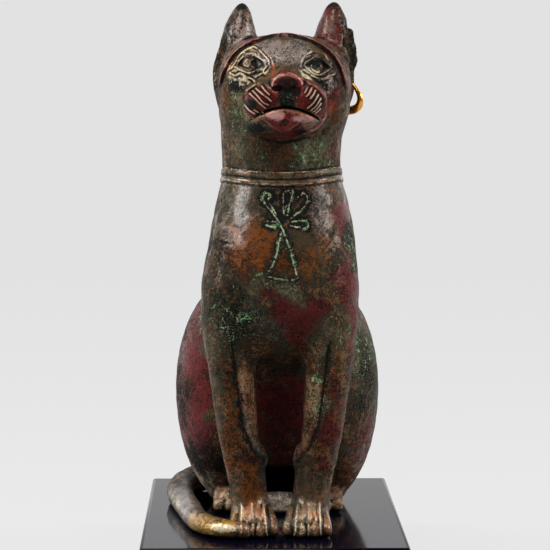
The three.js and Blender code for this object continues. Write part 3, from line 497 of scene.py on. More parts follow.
def face_carving(x, y, z):
    """Heights to add to the front of the head: hood, eyes, brows, nose, pads and muzzle rim."""
    # The hood's edge over the forehead, and the brows
    facing = ramp(-12, -17, y)
    crease = crease_distance(x, y, z)
    top = ramp(89, 92, z)
    high = 0.4 * ramp(82, 85.5, z) * ramp(-0.35, 0.35, crease)
    groove = (0.06 + 0.1 * top) * bump(crease + 0.25, 0.3)
    high = high + ramp(83, 86, z) * (0.15 * bump(crease - 0.4, 0.4) - groove)
    for middle, level in ((-1.7, 90.5), (2.8, 90.3)):
        high = high + 0.3 * ramp(2.6, 0.3, np.hypot(x - middle, z - level))

    # The eye on the left, its ball sunk in worn lines and crust
    straight_x, straight_z = x, z
    x, z = worn(x, z)
    broken = 0.55 + 0.45 * np.sin(2.7 * x + 1.1 + 0.8 * z) * np.sin(2.1 * z + 0.7)
    outside = outside_almond(x, z, **eye_left)
    ball_left = np.hypot(x + 5.75, z - 88.5)
    high = high - 0.45 * ramp(0.05, -0.4, outside)
    high = high + 0.5 * np.sqrt(np.clip(1 - (ball_left / 1.35) ** 2, 0, 1))
    high = high + 0.08 * bump(np.hypot(x + 6.05, z - 88.5) - 0.62, 0.24)
    high = high - 0.3 * ramp(0.8, 0.3, pupil_distance(x, z))
    lines = nearest_line(x, z, left_eye_lines)
    high = high + broken * (0.15 * bump(lines, 0.26) - 0.05 * bump(lines - 0.42, 0.22))
    high = high + 0.3 * ramp(1.6, 0.3, np.hypot(x + 6.7, (z - 84.9) / 1.15))
    crusted = ramp(4.6, 3.2, np.hypot(x + 6.2, (z - 87.0) * 0.95)) * ramp(0.1, 0.5, outside)
    high = high + 0.035 * crusted * (np.sin(2.3 * x + 2.9 * z + np.sin(1.9 * x))
                                    + 0.7 * np.sin(4.4 * z - 1.7 * x + 1.5 * np.sin(2.6 * z)))

    # The eye on the right
    outside = outside_almond(x, z, **eye_right)
    ball_right = np.hypot(x - 6.9, z - 88.0)
    high = high + 0.12 * bump(outside - 0.25, 0.34) - 0.5 * ramp(0.1, -0.6, outside)
    high = high + 0.45 * np.sqrt(np.clip(1 - (ball_right / 1.25) ** 2, 0, 1))
    lines = nearest_line(x, z, right_eye_lines)
    high = high + broken * (0.14 * bump(lines, 0.34) - 0.04 * bump(lines - 0.5, 0.25))

    # The muzzle's rim, the pads, the lip and the nose
    front = ramp(86.5, 84.8, z) * ramp(-18, -22, y)
    rim = rim_distance(x, z)
    right = 0.45 + 0.55 * ramp(-1, 4, x)
    edge = 0.12 + 0.12 * ramp(-3, 2, x)
    high = high + front * (edge * bump(rim - 0.1, 0.6) - 0.2 * right * bump(rim - 0.95, 0.8))
    forward = ramp(-22, -25, y)
    pads = whisker_pad(x, z)
    ridges = bump(nearest_line(straight_x, straight_z, pad_lines), 0.3)
    high = high + forward * pads * (0.24 * ridges - 0.1)
    high = high + forward * 0.45 * lip_share(x, z)
    high = high + forward * 0.3 * ramp(1.15, 0.2, gem_distance(x, z))
    nose = nose_distance(x, z)
    on_nose = ramp(-28.5, -31, y)
    high = high + on_nose * 0.14 * bump(nose + 0.35, 0.5) * ramp(83.6, 85, z)
    high = high - on_nose * 0.25 * ramp(-0.7, -1.5, nose)
    high = high + on_nose * 0.1 * np.sin(3.1 * x + 1.0) * np.sin(2.9 * z) * ramp(-0.7, -1.3, nose)
    high = high - forward * 0.12 * bump(x - 0.9, 0.4) * ramp(83.2, 82.4, z) * ramp(80.6, 81.2, z)
    return high * facing


def mouth_line(x, z):
    """How far a place lies above the line of the mouth, which drops to both sides."""
    across = np.abs(x - mouth_middle)
    return z - (80.35 - 0.056 * across * across)


def mouth_reach(x, y):
    """1 along the mouth, and 0 past its corners and behind them."""
    return ramp(6.7, 5.4, np.abs(x - mouth_middle)) * ramp(-22, -25, y)


def head_form(x, y, z):
    """Skull, cheeks, bridge of the nose, muzzle, pads, chin, lip, nose and nostrils."""
    side = np.abs(x - muzzle_middle)
    d = join(ball(x, y, z, (1, -13.8, 84), (12.2, 13.2, 9.7), power=2.5),
             ball(x, y, z, (1, -17.2, 80), (11.6, 10, 8.6), power=2.2), 3)
    d = join(d, limb(x, y, z, (0.9, -21, 88.8), (1.05, -30.6, 84.2), 4.2, 2.5), 3.2)
    d = join(d, ball(x, y, z, (0.8, -26.8, 80.5), (7.8, 7.6, 6), power=2.3), 1.3)
    d = join(d, ball(side, y, z, (3.5, -30.6, 81.9), (4, 3.8, 3.5)), 0.8)
    d = join(d, ball(x, y, z, (1, -27.9, 77.6), (4.9, 5, 2.5)), 0.9)
    d = join(d, ball(x, y, z, (1.3, -29.6, 78.6), (5, 4.4, 1.9)), 0.5)
    nose = cut(ball(x, y, z, (1.05, -32, 84.7), (2.95, 2.6, 2.0), power=2.3),
               y + 34.1 + 0.25 * (z - 84.7), 0.8)
    d = join(d, nose, 0.5)
    d = cut(d, ball(x, y, z, (2.95, -33.6, 83.3), (0.7, 1.3, 0.85)), 0.3)
    d = cut(d, ball(x, y, z, (-0.85, -33.6, 83.8), (0.75, 1.2, 0.5)), 0.25)
    return d


def broken_rim(x, y, z):
    """Height of the stump that is left of the left ear's outer rim."""
    level = 95.0 + 0.3 * np.sin(2.6 * y) + 0.2 * np.sin(5.1 * y + 1)
    below = 0.75 * ramp(11.6, 12.8, x) * ramp(level + 0.2, level - 0.2, z)
    return below * ramp(87, 89.5, z) * ramp(-17, -15, y)


def upper_form(x, y, z, carving):
    """Everything above the shoulders."""
    d = join(loft(x, y, z, chest_sections, 2.2, 0.9), head_form(x, y, z), 1.6)
    reach = mouth_reach(x, y)
    line = mouth_line(x, z)
    gape = 0.85 * bump(line, 0.38) + 0.2 * bump(line, 1.0)
    d = d - carving * face_carving(x, y, z) + gape * reach
    for ear in ears:
        dome = ear_dome(x, y, z, ear["x"], ear["lean"], ear["wide"], ear["height"])
        d = join(d, cut(dome, ball(x, y, z, ear["hollow"], ear["size"], power=2.2), 0.5), 1.3)
    return cut(d - broken_rim(x, y, z), ball(x, y, z, (14.5, -9, 96.9), (1.5, 5, 1.6)), 0.3)


def collar_level(x, y, z):
    """How far a place lies above the collar's line, which rises to both sides at the front."""
    return z - collar_height - collar_rise * (x / 11.2) ** 2 * ramp(-8, -20, y) + 0.12 * (y + 12) / 12


def collar_carving(x, y, z):
    """Heights of the collar's bands and grooves."""
    level = collar_level(x, y, z)
    high = 0.2 * ramp(-1.0, -0.7, level) * ramp(1.95, 1.6, level)
    high = high + 0.1 * bump(level - 1.0, 0.55) + 0.1 * bump(level + 0.25, 0.5)
    for above, depth, reach in collar_grooves:
        high = high - depth * bump(level - above, reach)
    return high


def amulet_carving(x, y, z):
    """Depth of the amulet's cut strokes."""
    front = ramp(-20, -23, y) * (z > amulet_foot) * (z < amulet_top)
    return front * 0.14 * bump(nearest_line(x, z, amulet_lines), 0.26)


def inside_leg_line(side, z):
    """How far a place lies on the inner side of the line down the foreleg."""
    places, heights = zip(*reversed(leg_line))
    return np.interp(z, heights, places) - side


def on_toes(y, z):
    """1 on the front of the toes, and 0 above and behind them."""
    return ramp(7.2, 5.4, z) * ramp(-26.5, -28.5, y)


def leg_carving(side, y, z):
    """Heights on the forelegs: a flatter inner face behind a sunk line, and ribs between toes."""
    front = ramp(40, 34, z) * ramp(13.4, 16, z) * ramp(-20, -23, y)
    inside = inside_leg_line(side, z)
    high = -front * (0.5 * ramp(-0.6, 0.6, inside) + 0.2 * bump(inside - 0.2, 0.55))
    toes = on_toes(y, z) * (z > -1)
    for start, slant in toe_gaps:
        gap = side - start - slant * z + 0.08 * np.sin(2.2 * z + 3 * start)
        high = high + toes * (0.17 * bump(gap, 0.3) - 0.14 * bump(np.abs(gap) - 0.7, 0.6))
    knuckle = ramp(4.6, 3.4, z) * ramp(1.6, 2.6, z) * ramp(-27.5, -30, y)
    return high + 0.12 * knuckle


def lower_form(x, y, z, carving):
    """Chest, trunk, forelegs, haunches, feet and tail."""
    side = np.abs(x)
    d = cut(loft(x, y, z, chest_sections, 2.2, 0.9), z - 33.4, 4)
    hind = cut(loft(x, y, z, trunk_sections, 2.3, 0.85), z - 9.4, 3)
    hind = join(hind, ball(x, y, z, (0, 17, 10), (14.5, 16.6, 20)), 3)
    d = join(d, hind, 4)
    d = join(d, ball(side, y, z, (9.7, -18, 43), (4.5, 9, 14), lean=-10), 2.5)
    leg = loft(side, y, z, leg_sections, 2.15, 0.95)
    leg = join(leg, ball(side, y, z, (9.2, -16, 34), (3.6, 3.8, 6), lean=-20), 3)
    leg = join(leg, ball(side, y, z, (3.5, -23.4, 14.4), (1.2, 1.7, 2.6)), 0.9)
    leg = join(leg, ball(side, y, z, (4.9, -27, 1.6), (4.1, 5.6, 4.6), power=2.2), 1.4)
    for toe_x, tip, half in front_toes:
        toe = limb(side, y, z, (mix(5.2, toe_x, 0.78), -28.4, 4.6), (toe_x, tip + half * 1.15, 1.25),
                   half * 0.95, half * 1.2)
        leg = join(leg, toe, 0.3)
    d = join(d, leg - carving * leg_carving(side, y, z), 3)
    d = join(d, ball(side, y, z, (9.6, 12, 23.5), (10.75, 18.5, 23.4), lean=-14, top=21.2), 2.4)
    d = cut(d, ball(x, y, z, (0, 1.5, 1), (5.4, 9, 7.6), power=4), 1)
    foot = limb(side, y, z, (9.9, 25, 2.4), (9.4, 1.6, 2.4), 3.9, 3.4, 1.35)
    for toe_x, tip, half in hind_toes:
        toe = limb(side, y, z, (mix(9.4, toe_x, 0.85), 3, 3.4), (toe_x, tip + half * 1.15, 1.4),
                   half * 1.15, half * 1.25)
        foot = join(foot, toe, 0.25)
    d = join(d, foot, 1.0)
    d = join(d, ball(x, y, z, (0, -2, 0.2), (8.2, 2.2, 4.1), power=2.6), 0.8)
    low = z < 12
    if np.any(low):
        tail = np.full(np.shape(x), far)
        for a, b in zip(tail_line, tail_line[1:]):
            piece = limb(x[low], y[low], z[low], a[:3], b[:3], a[3], b[3], 1.05)
            tail[low] = np.minimum(tail[low], piece)
        d = join(d, tail, 0.6)
    return d


def figure_form(places, carving):
    """How far places, given as rows of x, y and z, lie outside the finished skin."""
    out = np.empty(len(places))
    above = places[:, 2] > shoulders
    for branch, form in ((above, upper_form), (~above, lower_form)):
        if np.any(branch):
            x, y, z = places[branch].T
            sway = np.sin(1.3 * x + 0.7 * z) * np.sin(1.1 * y - 0.9 * z) + np.sin(0.6 * x - 1.7 * z + y)
            d = form(x, y, z, carving) - 0.03 * sway
            out[branch] = d - carving * collar_carving(x, y, z) + carving * amulet_carving(x, y, z)
    return out


def onto_form(places, movable, carving):
    """Moves places onto the finished skin along its slope, in two moves."""
    step = 0.03
    longest = 0.5
    corners = np.array(((1, -1, -1), (-1, -1, 1), (-1, 1, -1), (1, 1, 1)), float)
    for _ in range(2):
        here = places[movable]
        values = [figure_form(here + step * corner, carving) for corner in corners]
        slope = sum(value[:, None] * corner for value, corner in zip(values, corners)) / (4 * step)
        level = sum(values) / 4
        size = np.maximum((slope ** 2).sum(axis=1), 0.2)
        move = -slope * (level / size)[:, None]
        length = np.linalg.norm(move, axis=1)
        move *= (np.minimum(length, longest) / np.maximum(length, 1e-9))[:, None]
        places[movable] = here + move
        places[:, 2] = np.maximum(places[:, 2], 0)
    return places


def carved(x, y, z):
    """Where the skin has carved lines: face, broken ear, collar, amulet, leg lines and toes."""
    face = ((z > 73.5) & (y < -17.5)) | ((z > 84) & (y < -14) & (np.abs(x) < 13))
    ear = (x > 11) & (z > 86) & (y < -3)
    collar = np.abs(collar_level(x, y, z) - 0.4) < 1.9
    amulet = (y < -22) & (np.abs(x - 0.9) < 5.4) & (z > amulet_foot + 0.5) & (z < amulet_top - 0.5)
    leg = (y < -20) & (z > 12.5) & (z < 39) & (np.abs(inside_leg_line(np.abs(x), z)) < 1.6)
    toes = ((y < -26) & (z < 7)) | ((y < 1) & (y > -4.5) & (z < 5) & (np.abs(x) > 5.5))
    return face | ear | collar | amulet | leg | toes


def carved_finest(x, y, z):
    """Where the carved lines are finest: eyes, nose, muzzle and the amulet's strokes."""
    eyes = (z > 84.5) & (z < 92.3) & (y < -19) & (np.abs(np.abs(x - 1) - 6.3) < 4.2)
    nose = (z > 82.2) & (z < 87.3) & (y < -29) & (np.abs(x - 1.05) < 3.4)
    muzzle = (z > 76) & (z < 85) & (y < -24) & (np.abs(x - 1) < 8)
    amulet = (y < -24) & (z > amulet_foot + 0.5) & (z < amulet_top - 0.5)
    return eyes | nose | muzzle | (amulet & (nearest_line(x, z, amulet_lines) < 0.7))


def summed_neighbours(places, edges):
    """The sum of the places next to each place, and how many they are."""
    total = np.zeros_like(places)
    count = np.zeros(len(places))
    for a, b in ((0, 1), (1, 0)):
        for axis in range(3):
            total[:, axis] += np.bincount(edges[:, a], places[edges[:, b], axis], len(places))
        count += np.bincount(edges[:, a], minlength=len(places))
    return total, count


def relaxed(places, normals, edges, movable):
    """Evens out the spacing of the places without leaving the skin."""
    share = 0.5
    total, count = summed_neighbours(places, edges)
    pull = total / np.maximum(count, 1)[:, None] - places
    pull -= normals * (pull * normals).sum(axis=1)[:, None]
    places[movable] += share * pull[movable]
    return places


# Where the patina has which colour, with some painted sheen and shade among it: middle, radii and strength,
# in the figure's shares
patches = {
    "red": (
        ((-17, 4, 25), (6, 14, 17), 1.25), ((17, 8, 13), (6, 14, 9), 0.55),
        ((2.6, -31, 41.8), (6.5, 6, 4.8), 1.05), ((13.8, -18, 50), (3.2, 11, 20), 1.45),
        ((11.5, -15, 69), (2.2, 9, 7), 0.7), ((0, -8, 20), (8, 8, 13), 1.0),
        ((1.4, -29, 76.3), (3.6, 6, 1.8), 1.0), ((1.05, -33, 85), (3.3, 4, 2.6), 1.1),
        ((9.5, -27, 20), (3.4, 6, 8), 0.6), ((9.6, -14, 95), (3.4, 5, 6), 0.7),
        ((-7.2, -16, 93), (2.6, 5, 5), 0.6), ((-7.5, -17, 92), (1.6, 4, 2), 0.9),
        ((9.5, -22, 81), (2.4, 8, 6), 0.7), ((0, 25, 20), (12, 9, 16), 0.65),
        ((-8, 4, 56), (5, 5, 8), 0.5), ((-11, -26, 92), (2, 14, 6), 0.6), ((4, 0, 84), (7, 3, 8), 0.5),
    ),
    "orange": (
        ((-7.3, -17, 95), (1.5, 4, 2.2), 1.0), ((9.7, -24, 80), (1.3, 6, 3.5), 0.9),
        ((-10, -20, 81.5), (1.6, 6, 3), 1.1), ((10.2, -20, 84), (1.2, 6, 4), 1.0),
        ((-2, -30, 50.5), (8, 6, 4), 1.0), ((-6.5, -30, 54), (6.5, 6, 5.5), 1.25),
        ((5, -30, 53), (6.5, 6, 6), 0.55), ((-1.5, -27, 72), (6, 6, 4.5), 0.7),
        ((-8.8, -29, 24), (1.8, 4, 12), 1.1), ((-6.2, -29, 10), (2.4, 4, 6), 1.1),
        ((8.2, -28, 25), (1.6, 4, 12), 0.8), ((8, -28, 15), (2.6, 4, 4.5), 0.75),
        ((6, -23, 20), (2.5, 5, 4), 0.6), ((-4.4, -23, 19), (1.5, 5, 4), 0.5),
        ((0, 20, 40), (12, 14, 12), 0.45), ((12, 10, 6), (6, 16, 5), 0.6),
        ((-9, -24, 80), (3, 6, 4), 0.6), ((5, -31, 4), (6, 6, 5), 0.35),
        ((-5, -31, 4), (6, 6, 5), 0.35),
    ),
    "green": (
        ((-8.6, -24, 80.5), (2.6, 6, 4.5), 0.85), ((0, -20, 72), (12, 10, 7), 0.62),
        ((9, -20, 78), (3, 8, 6), 0.55), ((-20, 4, 28), (4, 14, 16), 0.55),
        ((7.5, -24, 84.2), (2.2, 6, 1.6), 0.45), ((2, 28, 38), (9, 10, 12), 0.6),
        ((-14, 18, 30), (6, 10, 12), 0.5), ((-5, -29, 33), (4, 6, 6), 0.5),
        ((4, -31.5, 3), (4, 5, 4), 0.6), ((-6, -32, 4), (3, 5, 4), 0.5),
        ((6, -22, 71.5), (7, 9, 4.5), 1.0), ((-8, -27, 76), (5, 8, 6), 0.7),
        ((-9, -27, 41), (6.5, 8, 7.5), 0.95), ((14, -18, 53.5), (3.0, 8, 4.6), 1.35),
        ((17, 0, 30), (6, 12, 9), 0.8), ((-1, -31, 46.8), (8, 6, 2.6), 0.85),
        ((10, -28, 37), (5, 6, 6), 0.6), ((0, -8, 14), (8, 8, 7), 0.55),
        ((-17, 2, 12), (6, 12, 5), 0.5), ((-17.5, 0, 40), (4, 10, 8), 0.5),
        ((6, 16, 55), (9, 12, 14), 0.5), ((-12, -14, 60), (3, 8, 12), 0.55),
        ((6, -29, 27), (3, 4, 8), 0.8), ((0, 30, 12), (14, 8, 10), 0.45),
        ((12.5, -10, 90), (3, 5, 7), 0.4),
    ),
    # Among the black patches, the one under the belly is painted shade; others darken the ear hollows and
    # the chin under the lower lip
    "black": (
        ((-9, -27, 42), (6.5, 8, 8), 0.85), ((14.2, -18, 53.5), (2.8, 7, 5), 1.15),
        ((-20, 4, 25), (2.6, 9, 13), 0.75), ((-15, 2, 11), (7, 12, 5), 0.8),
        ((18, -1, 26), (4.5, 9, 8), 0.75), ((-12.5, -22, 58), (2.6, 8, 12), 0.6),
        ((15.6, -12.2, 92), (4.2, 6.4, 11), 0.8), ((-13.3, -13.2, 90.6), (4.6, 6.4, 11), 0.74),
        ((-10.5, -14, 95), (2, 6, 7), 0.6), ((-3.9, -27, 76.6), (2.0, 6, 1.5), 1.3),
        ((3.3, -27, 76.1), (1.5, 6, 0.9), 1.3), ((0, 6, 5), (7, 8.5, 7), 1.3),
        ((-7.1, -11, 99.8), (2.2, 4, 1.5), 0.8), ((10.6, -11, 100), (2.6, 4, 1.5), 0.8),
        ((1, -27, 61), (5.2, 6, 4.5), 0.72), ((-3.6, -30, 81.2), (1.9, 4, 2.2), 0.3),
        ((7.3, -27, 82), (2.0, 6, 2.6), 0.9), ((10.2, -22, 85.5), (2.0, 6, 2.0), 0.55),
        ((-8, 22, 45), (6, 8, 9), 0.6), ((11, 26, 27), (7, 8, 9), 0.55),
        ((-8.7, -23, 84.2), (1.5, 8, 1.6), 1.0), ((5, -31, 2), (5, 5, 3), 0.5),
        ((-5, -31, 2), (5, 5, 3), 0.5), ((7.2, -24, 88), (3.4, 6, 2.2), 0.75),
        ((-9.4, -29, 31), (2.0, 5, 12), 0.5),
    ),
    # Grey patches: those on the brow, on both sides of the upper chest and between the front paws are
    # partly painted sheen
    "grey": (
        ((-7.2, -16, 96), (3.0, 6, 7), 0.8), ((0, -3.5, 2.6), (6, 4, 3), 1.5),
        ((9.2, -17, 95), (2.6, 5, 6), 0.55), ((0, -22, 87), (4, 6, 3), 0.6),
        ((8, -20, 86), (3, 6, 4), 0.6), ((7.4, -24, 84.2), (2.8, 6, 1.9), 1.2),
        ((0.6, -24, 90.5), (6.5, 8, 3.2), 1.0), ((-8, -26, 60), (4.5, 8, 6), 0.6),
        ((8.6, -26, 60), (4.5, 8, 6), 0.6), ((-17, -4, 4), (5, 26, 5), 0.8),
        ((-10, -29, 12), (3, 6, 6), 0.35), ((-8, -8, 60), (6, 20, 16), 0.2),
    ),
    "copper": (
        ((5, -31, 3), (6, 6, 6), 0.75), ((-5, -31, 3), (6, 6, 6), 0.75),
        ((-12, -29, 2), (8, 8, 4), 0.7), ((6, -24, 26), (3, 6, 14), 1.15),
        ((-5.5, -24, 26), (3, 6, 14), 1.2), ((-8.4, -29, 15), (3.6, 6, 15), 0.5),
        ((8.4, -29, 15), (3.6, 6, 15), 0.55), ((10, 0, 4), (7, 8, 6), 0.7),
        ((-10, 0, 4), (7, 8, 6), 0.7),
    ),
    "golden": (
        ((-13, -28, 1.6), (6.5, 8, 4), 1.3), ((-9.5, -31, 2), (5, 4, 4), 1.1),
        ((-17.5, -14, 1), (4, 12, 2.6), 0.9),
    ),
    # Tan patches; the one on top of the lower lip is partly a painted highlight
    "tan": (
        ((9.5, -1, 2.4), (5.5, 6, 3.6), 0.5), ((-9.5, -1, 2.4), (5.5, 6, 3.6), 0.55),
        ((0, -3.5, 2.4), (7, 3, 3.4), 0.8), ((-13, 10, 4), (7, 12, 4), 0.7),
        ((12, 14, 3), (8, 14, 3.5), 0.6), ((-5, -31.5, 2.2), (5, 4, 2.6), 0.4),
        ((5, -31.5, 2.2), (5, 4, 2.6), 0.4), ((-6.6, -23, 85.8), (3.8, 6, 2.4), 0.68),
        ((-2.9, -25, 87.0), (0.7, 4, 0.9), 1.5), ((4.9, -25, 86.5), (2.4, 5, 1.4), 1.6),
        ((-5.2, -22, 90.8), (4.0, 5, 1.4), 0.58), ((0.5, -30, 79.2), (4.5, 5, 1.0), 0.35),
        ((-9.5, -22, 88), (1.6, 5, 2), 0.5),
    ),
}
polished_places = (
    ((-17, -8, 2.5), (6, 18, 4), 0.8), ((-11, -30, 2), (7, 5, 3), 1.0),
    ((0, -16, 66.5), (13, 15, 2), 0.8), ((-8.5, -22, 58.5), (4.2, 9, 8), 0.35),
    ((11, -20, 59.5), (3.6, 9, 7), 0.35), ((1, -29, 77.5), (6, 6, 2.4), 1.0),
    ((1, -33, 86), (3.4, 4, 2.4), 1.0), ((0.6, -24, 90.5), (6.5, 8, 3.2), 0.6),
    ((-7.5, -16, 95), (3.5, 6, 6), 0.5), ((9.5, -16, 95), (3.5, 6, 6), 0.25),
    ((5, -31, 3), (6, 6, 5), 1.0), ((-5, -31, 3), (6, 6, 5), 1.0), ((-17, 4, 25), (5, 12, 14), 0.25),
    ((0, -3.5, 2.6), (6, 4, 2.6), 0.8),
)


def strength(places, spots):
    """How strongly a patina colour shows at each place, before the grain of the shader."""
    total = np.zeros(len(places))
    for centre, radii, weight in spots:
        reach = np.sqrt((((places - centre) / radii) ** 2).sum(axis=1))
        total = np.maximum(total, weight * ramp(1.6, 0.3, reach))
    return total


def strayed(places, reach):
    """The places moved about in slow waves, so that painted patches get wandering outlines."""
    x, y, z = places.T
    across = np.sin(0.41 * z + 0.23 * y + 1.3) + 0.6 * np.sin(0.93 * z - 0.71 * x + 0.4 * y)
    along = np.sin(0.37 * x - 0.29 * z + 0.5) + 0.6 * np.sin(0.83 * x + 0.67 * y + 0.9 * z + 2.1)
    upward = np.sin(0.45 * x + 0.31 * y + 2.6) + 0.6 * np.sin(0.97 * x - 0.5 * y + 0.77 * z)
    return places + reach * np.stack((across, along, upward), axis=1)


def curvature(places, normals, edges):
    """How sharply the skin bulges at each place, positive on ridges and negative in grooves."""
    total, count = summed_neighbours(places, edges)
    length = np.zeros(len(places))
    span = np.linalg.norm(places[edges[:, 0]] - places[edges[:, 1]], axis=1)
    for a in (0, 1):
        length += np.bincount(edges[:, a], span, len(places))
    offset = ((places - total / count[:, None]) * normals).sum(axis=1)
    bulge = 4 * offset / (length / count) ** 2
    for _ in range(4):
        around = np.zeros(len(places))
        for a, b in ((0, 1), (1, 0)):
            around += np.bincount(edges[:, a], bulge[edges[:, b]], len(places))
        bulge = 0.5 * bulge + 0.5 * around / count
    return bulge


def paint(values, **least):
    """Makes painted values at least as strong as the given ones."""
    for name, strengths in least.items():
        values[name] = np.maximum(values[name], strengths)


def on_face(y, z):
    """Whether a place is on the front of the head."""
    return (y < -14) & (z > 72)


def paint_hood(values, places):
    """Worn red metal and a painted highlight on the hood's edge over the forehead, and a painted shadow
    under it.
    """
    x, y, z = places.T
    crease = crease_distance(x, y, z)
    edge = bump(crease - 0.4, 0.8) * ramp(83, 86, z) * (y < -12)
    shadow = 0.45 * bump(crease + 0.3, 0.34) * ramp(88, 91, z) * on_face(y, z)
    paint(values, patina_red=1.2 * edge, scarlet=0.45 * edge, rosy_line=0.35 * edge, hollow_dark=shadow)


def paint_eyes(values, places):
    """Pale lines, painted highlights and shade round both eyes, and red and orange arcs outside them."""
    x, y, z = places.T
    face_x, face_z = worn(x, z)
    face = on_face(y, z)
    arcs = bump(nearest_line(face_x, face_z, red_arcs), 0.9) * face
    paint(values, scarlet=0.5 * arcs, patina_orange=0.9 * arcs)
    field = face * (z > 83)
    lines = nearest_line(face_x, face_z, left_eye_lines)
    eye = outside_almond(face_x, face_z, **eye_left)
    # The lid gets a painted highlight, and the dark round the lines and the pupil is painted shade
    lid = bump(np.hypot((x + 5.5) / 1.15, z - 88.0) - 1.9, 0.35) * ramp(88.6, 89.4, z)
    dark = np.maximum(0.16 * bump(lines - 0.6, 0.4), 0.8 * ramp(0.9, 0.5, pupil_distance(x, z)))
    dark = np.maximum(dark, 0.7 * bump(eye + 0.1, 0.3))
    paint(values, pale_line=0.5 * field * bump(lines, 0.34), rosy_line=0.55 * field * lid,
          hollow_dark=field * dark)
    # The right eye's raised lines are pale with painted highlights
    lines = field * bump(nearest_line(face_x, face_z, right_eye_lines), 0.4)
    paint(values, pale_line=0.2 * lines, rosy_line=0.36 * lines)
    # Painted shade in the right eye's almond and round its ball
    eye = outside_almond(x, z, **eye_right)
    dark = np.maximum(0.4 * ramp(0.1, -0.3, eye), 0.45 * bump(eye + 0.05, 0.25))
    dark = np.maximum(dark, 0.9 * ramp(0.85, 0.45, np.hypot(x - 6.5, z - 88.0)))
    paint(values, hollow_dark=face * dark)


def paint_muzzle(values, places):
    """Red rim, pads and lip, pale whisker lines, painted highlights, and painted shade in the mouth."""
    x, y, z = places.T
    face_x, face_z = worn(x, z)
    face = on_face(y, z)
    forward = ramp(-22, -25, y) * face
    # The rim is red on the left and carries a painted highlight on the right
    rim = bump(rim_distance(face_x, face_z) - 0.1, 0.8) * ramp(-18, -22, y) * face * (z < 86)
    paint(values, patina_red=1.1 * rim * ramp(-5, 0, x), rosy_line=0.32 * rim * ramp(1, 4, x))
    pad = whisker_pad(face_x, face_z) * forward
    ridges = bump(nearest_line(x, z, pad_lines), 0.32) * pad
    dark_pads = np.maximum(ramp(1.6, 0.7, np.hypot((x + 5.7) / 1.15, z - 80.9)),
                           ramp(1.9, 1.0, np.hypot((x - 6.9) / 0.8, (z - 81.4) / 1.3)))
    red_pads = pad * (1 - dark_pads)
    # Painted highlights on the whisker ridges, painted shade between them, and two dark blotches on the
    # pads
    paint(values, patina_red=1.2 * red_pads, scarlet=0.5 * red_pads,
          pale_line=0.5 * ramp(0.55, 1.0, ridges), rosy_line=0.85 * ridges,
          hollow_dark=np.maximum(0.3, 0.85 * dark_pads) * pad * (1 - ridges))
    # Painted shade along the line of the mouth
    mouth = mouth_line(x, z)
    gape = bump(mouth, 0.36) * mouth_reach(x, y) * face
    lip = lip_share(face_x, face_z) * forward
    paint(values, patina_red=1.5 * lip * ramp(6.5, 3.5, np.abs(x - 0.5)),
          scarlet=0.42 * lip * ramp(4.5, 1.5, np.abs(x - 0.7)), hollow_dark=gape)
    # Painted highlights on the top of the lower lip
    lip_highlights = ((0.85, -1.2, 78.9, 1.45, 0.75), (0.75, 4.2, 78.3, 1.8, 0.62))
    for strongest, middle, level, wide, high in lip_highlights:
        sheen = ramp(2.1, 0.5, np.hypot((x - middle) / wide, (z - level) / high)) * (mouth < -0.3)
        paint(values, rosy_line=strongest * forward * sheen)
    gem = gem_distance(x, z)
    paint(values, scarlet=0.9 * forward * ramp(1.6, 1.0, gem),
          hollow_dark=0.75 * forward * ramp(1.1, 0.7, gem))
    under_nose = ramp(2.6, 1.6, np.hypot((x - 1.0) / 0.8, z - 82.0)) * forward
    paint(values, patina_black=0.75 * under_nose, patina_green=0.5 * under_nose)


def paint_nose(values, places):
    """Red metal on the nose, a painted highlight on its upper rim, and painted shade in its middle and its
    nostrils.
    """
    x, y, z = places.T
    nose = nose_distance(x, z)
    front = ramp(-28.5, -31, y) * on_face(y, z)
    nostrils = np.maximum(ramp(1.1, 0.7, np.hypot((x - 2.95) / 0.85, (z - 83.3) / 1.05)),
                          ramp(1.1, 0.7, np.hypot((x + 0.85) / 0.9, (z - 83.9) / 0.6)))
    paint(values, patina_red=1.5 * front * ramp(0.5, 0.0, nose),
          scarlet=0.5 * front * ramp(0.4, 0.0, nose),
          rosy_line=0.65 * front * bump(nearest_line(x, z, nose_rims), 0.42),
          hollow_dark=0.62 * front * ramp(-0.5, -1.0, nose))
    paint(values, hollow_dark=nostrils * ramp(-29, -31, y))


def paint_collar(values, places):
    """Painted shade in the collar's grooves, and pale metal on its edges at the front, partly a painted
    highlight.
    """
    x, y, z = places.T
    level = collar_level(x, y, z)
    grooves = np.maximum.reduce([
        1.2 * bump(level - 0.38, 0.36), bump(level + 1.0, 0.25), bump(level - 1.85, 0.25)])
    edges = bump(level - 1.65, 0.22) + bump(level + 0.6, 0.2) + 0.6 * bump(level - 0.75, 0.2)
    paint(values, hollow_dark=0.8 * grooves, pale_line=0.5 * edges * (y < -6))


def paint_amulet(values, places):
    """Crust in the amulet's strokes, on a ground that is black round them."""
    x, y, z = places.T
    chest = (y < -20) & (z > amulet_foot) & (z < amulet_top)
    from_stroke = nearest_line(x, z, amulet_lines)
    black = chest * ramp(1.5, 0.3, from_stroke) * (1 + 0.35 * ramp(55, 58, z))
    paint(values, inlay=0.46 * bump(from_stroke, 0.3) * chest, patina_black=0.75 * black,
          patina_green=0.85 * chest * ramp(1.0, 0.2, from_stroke))


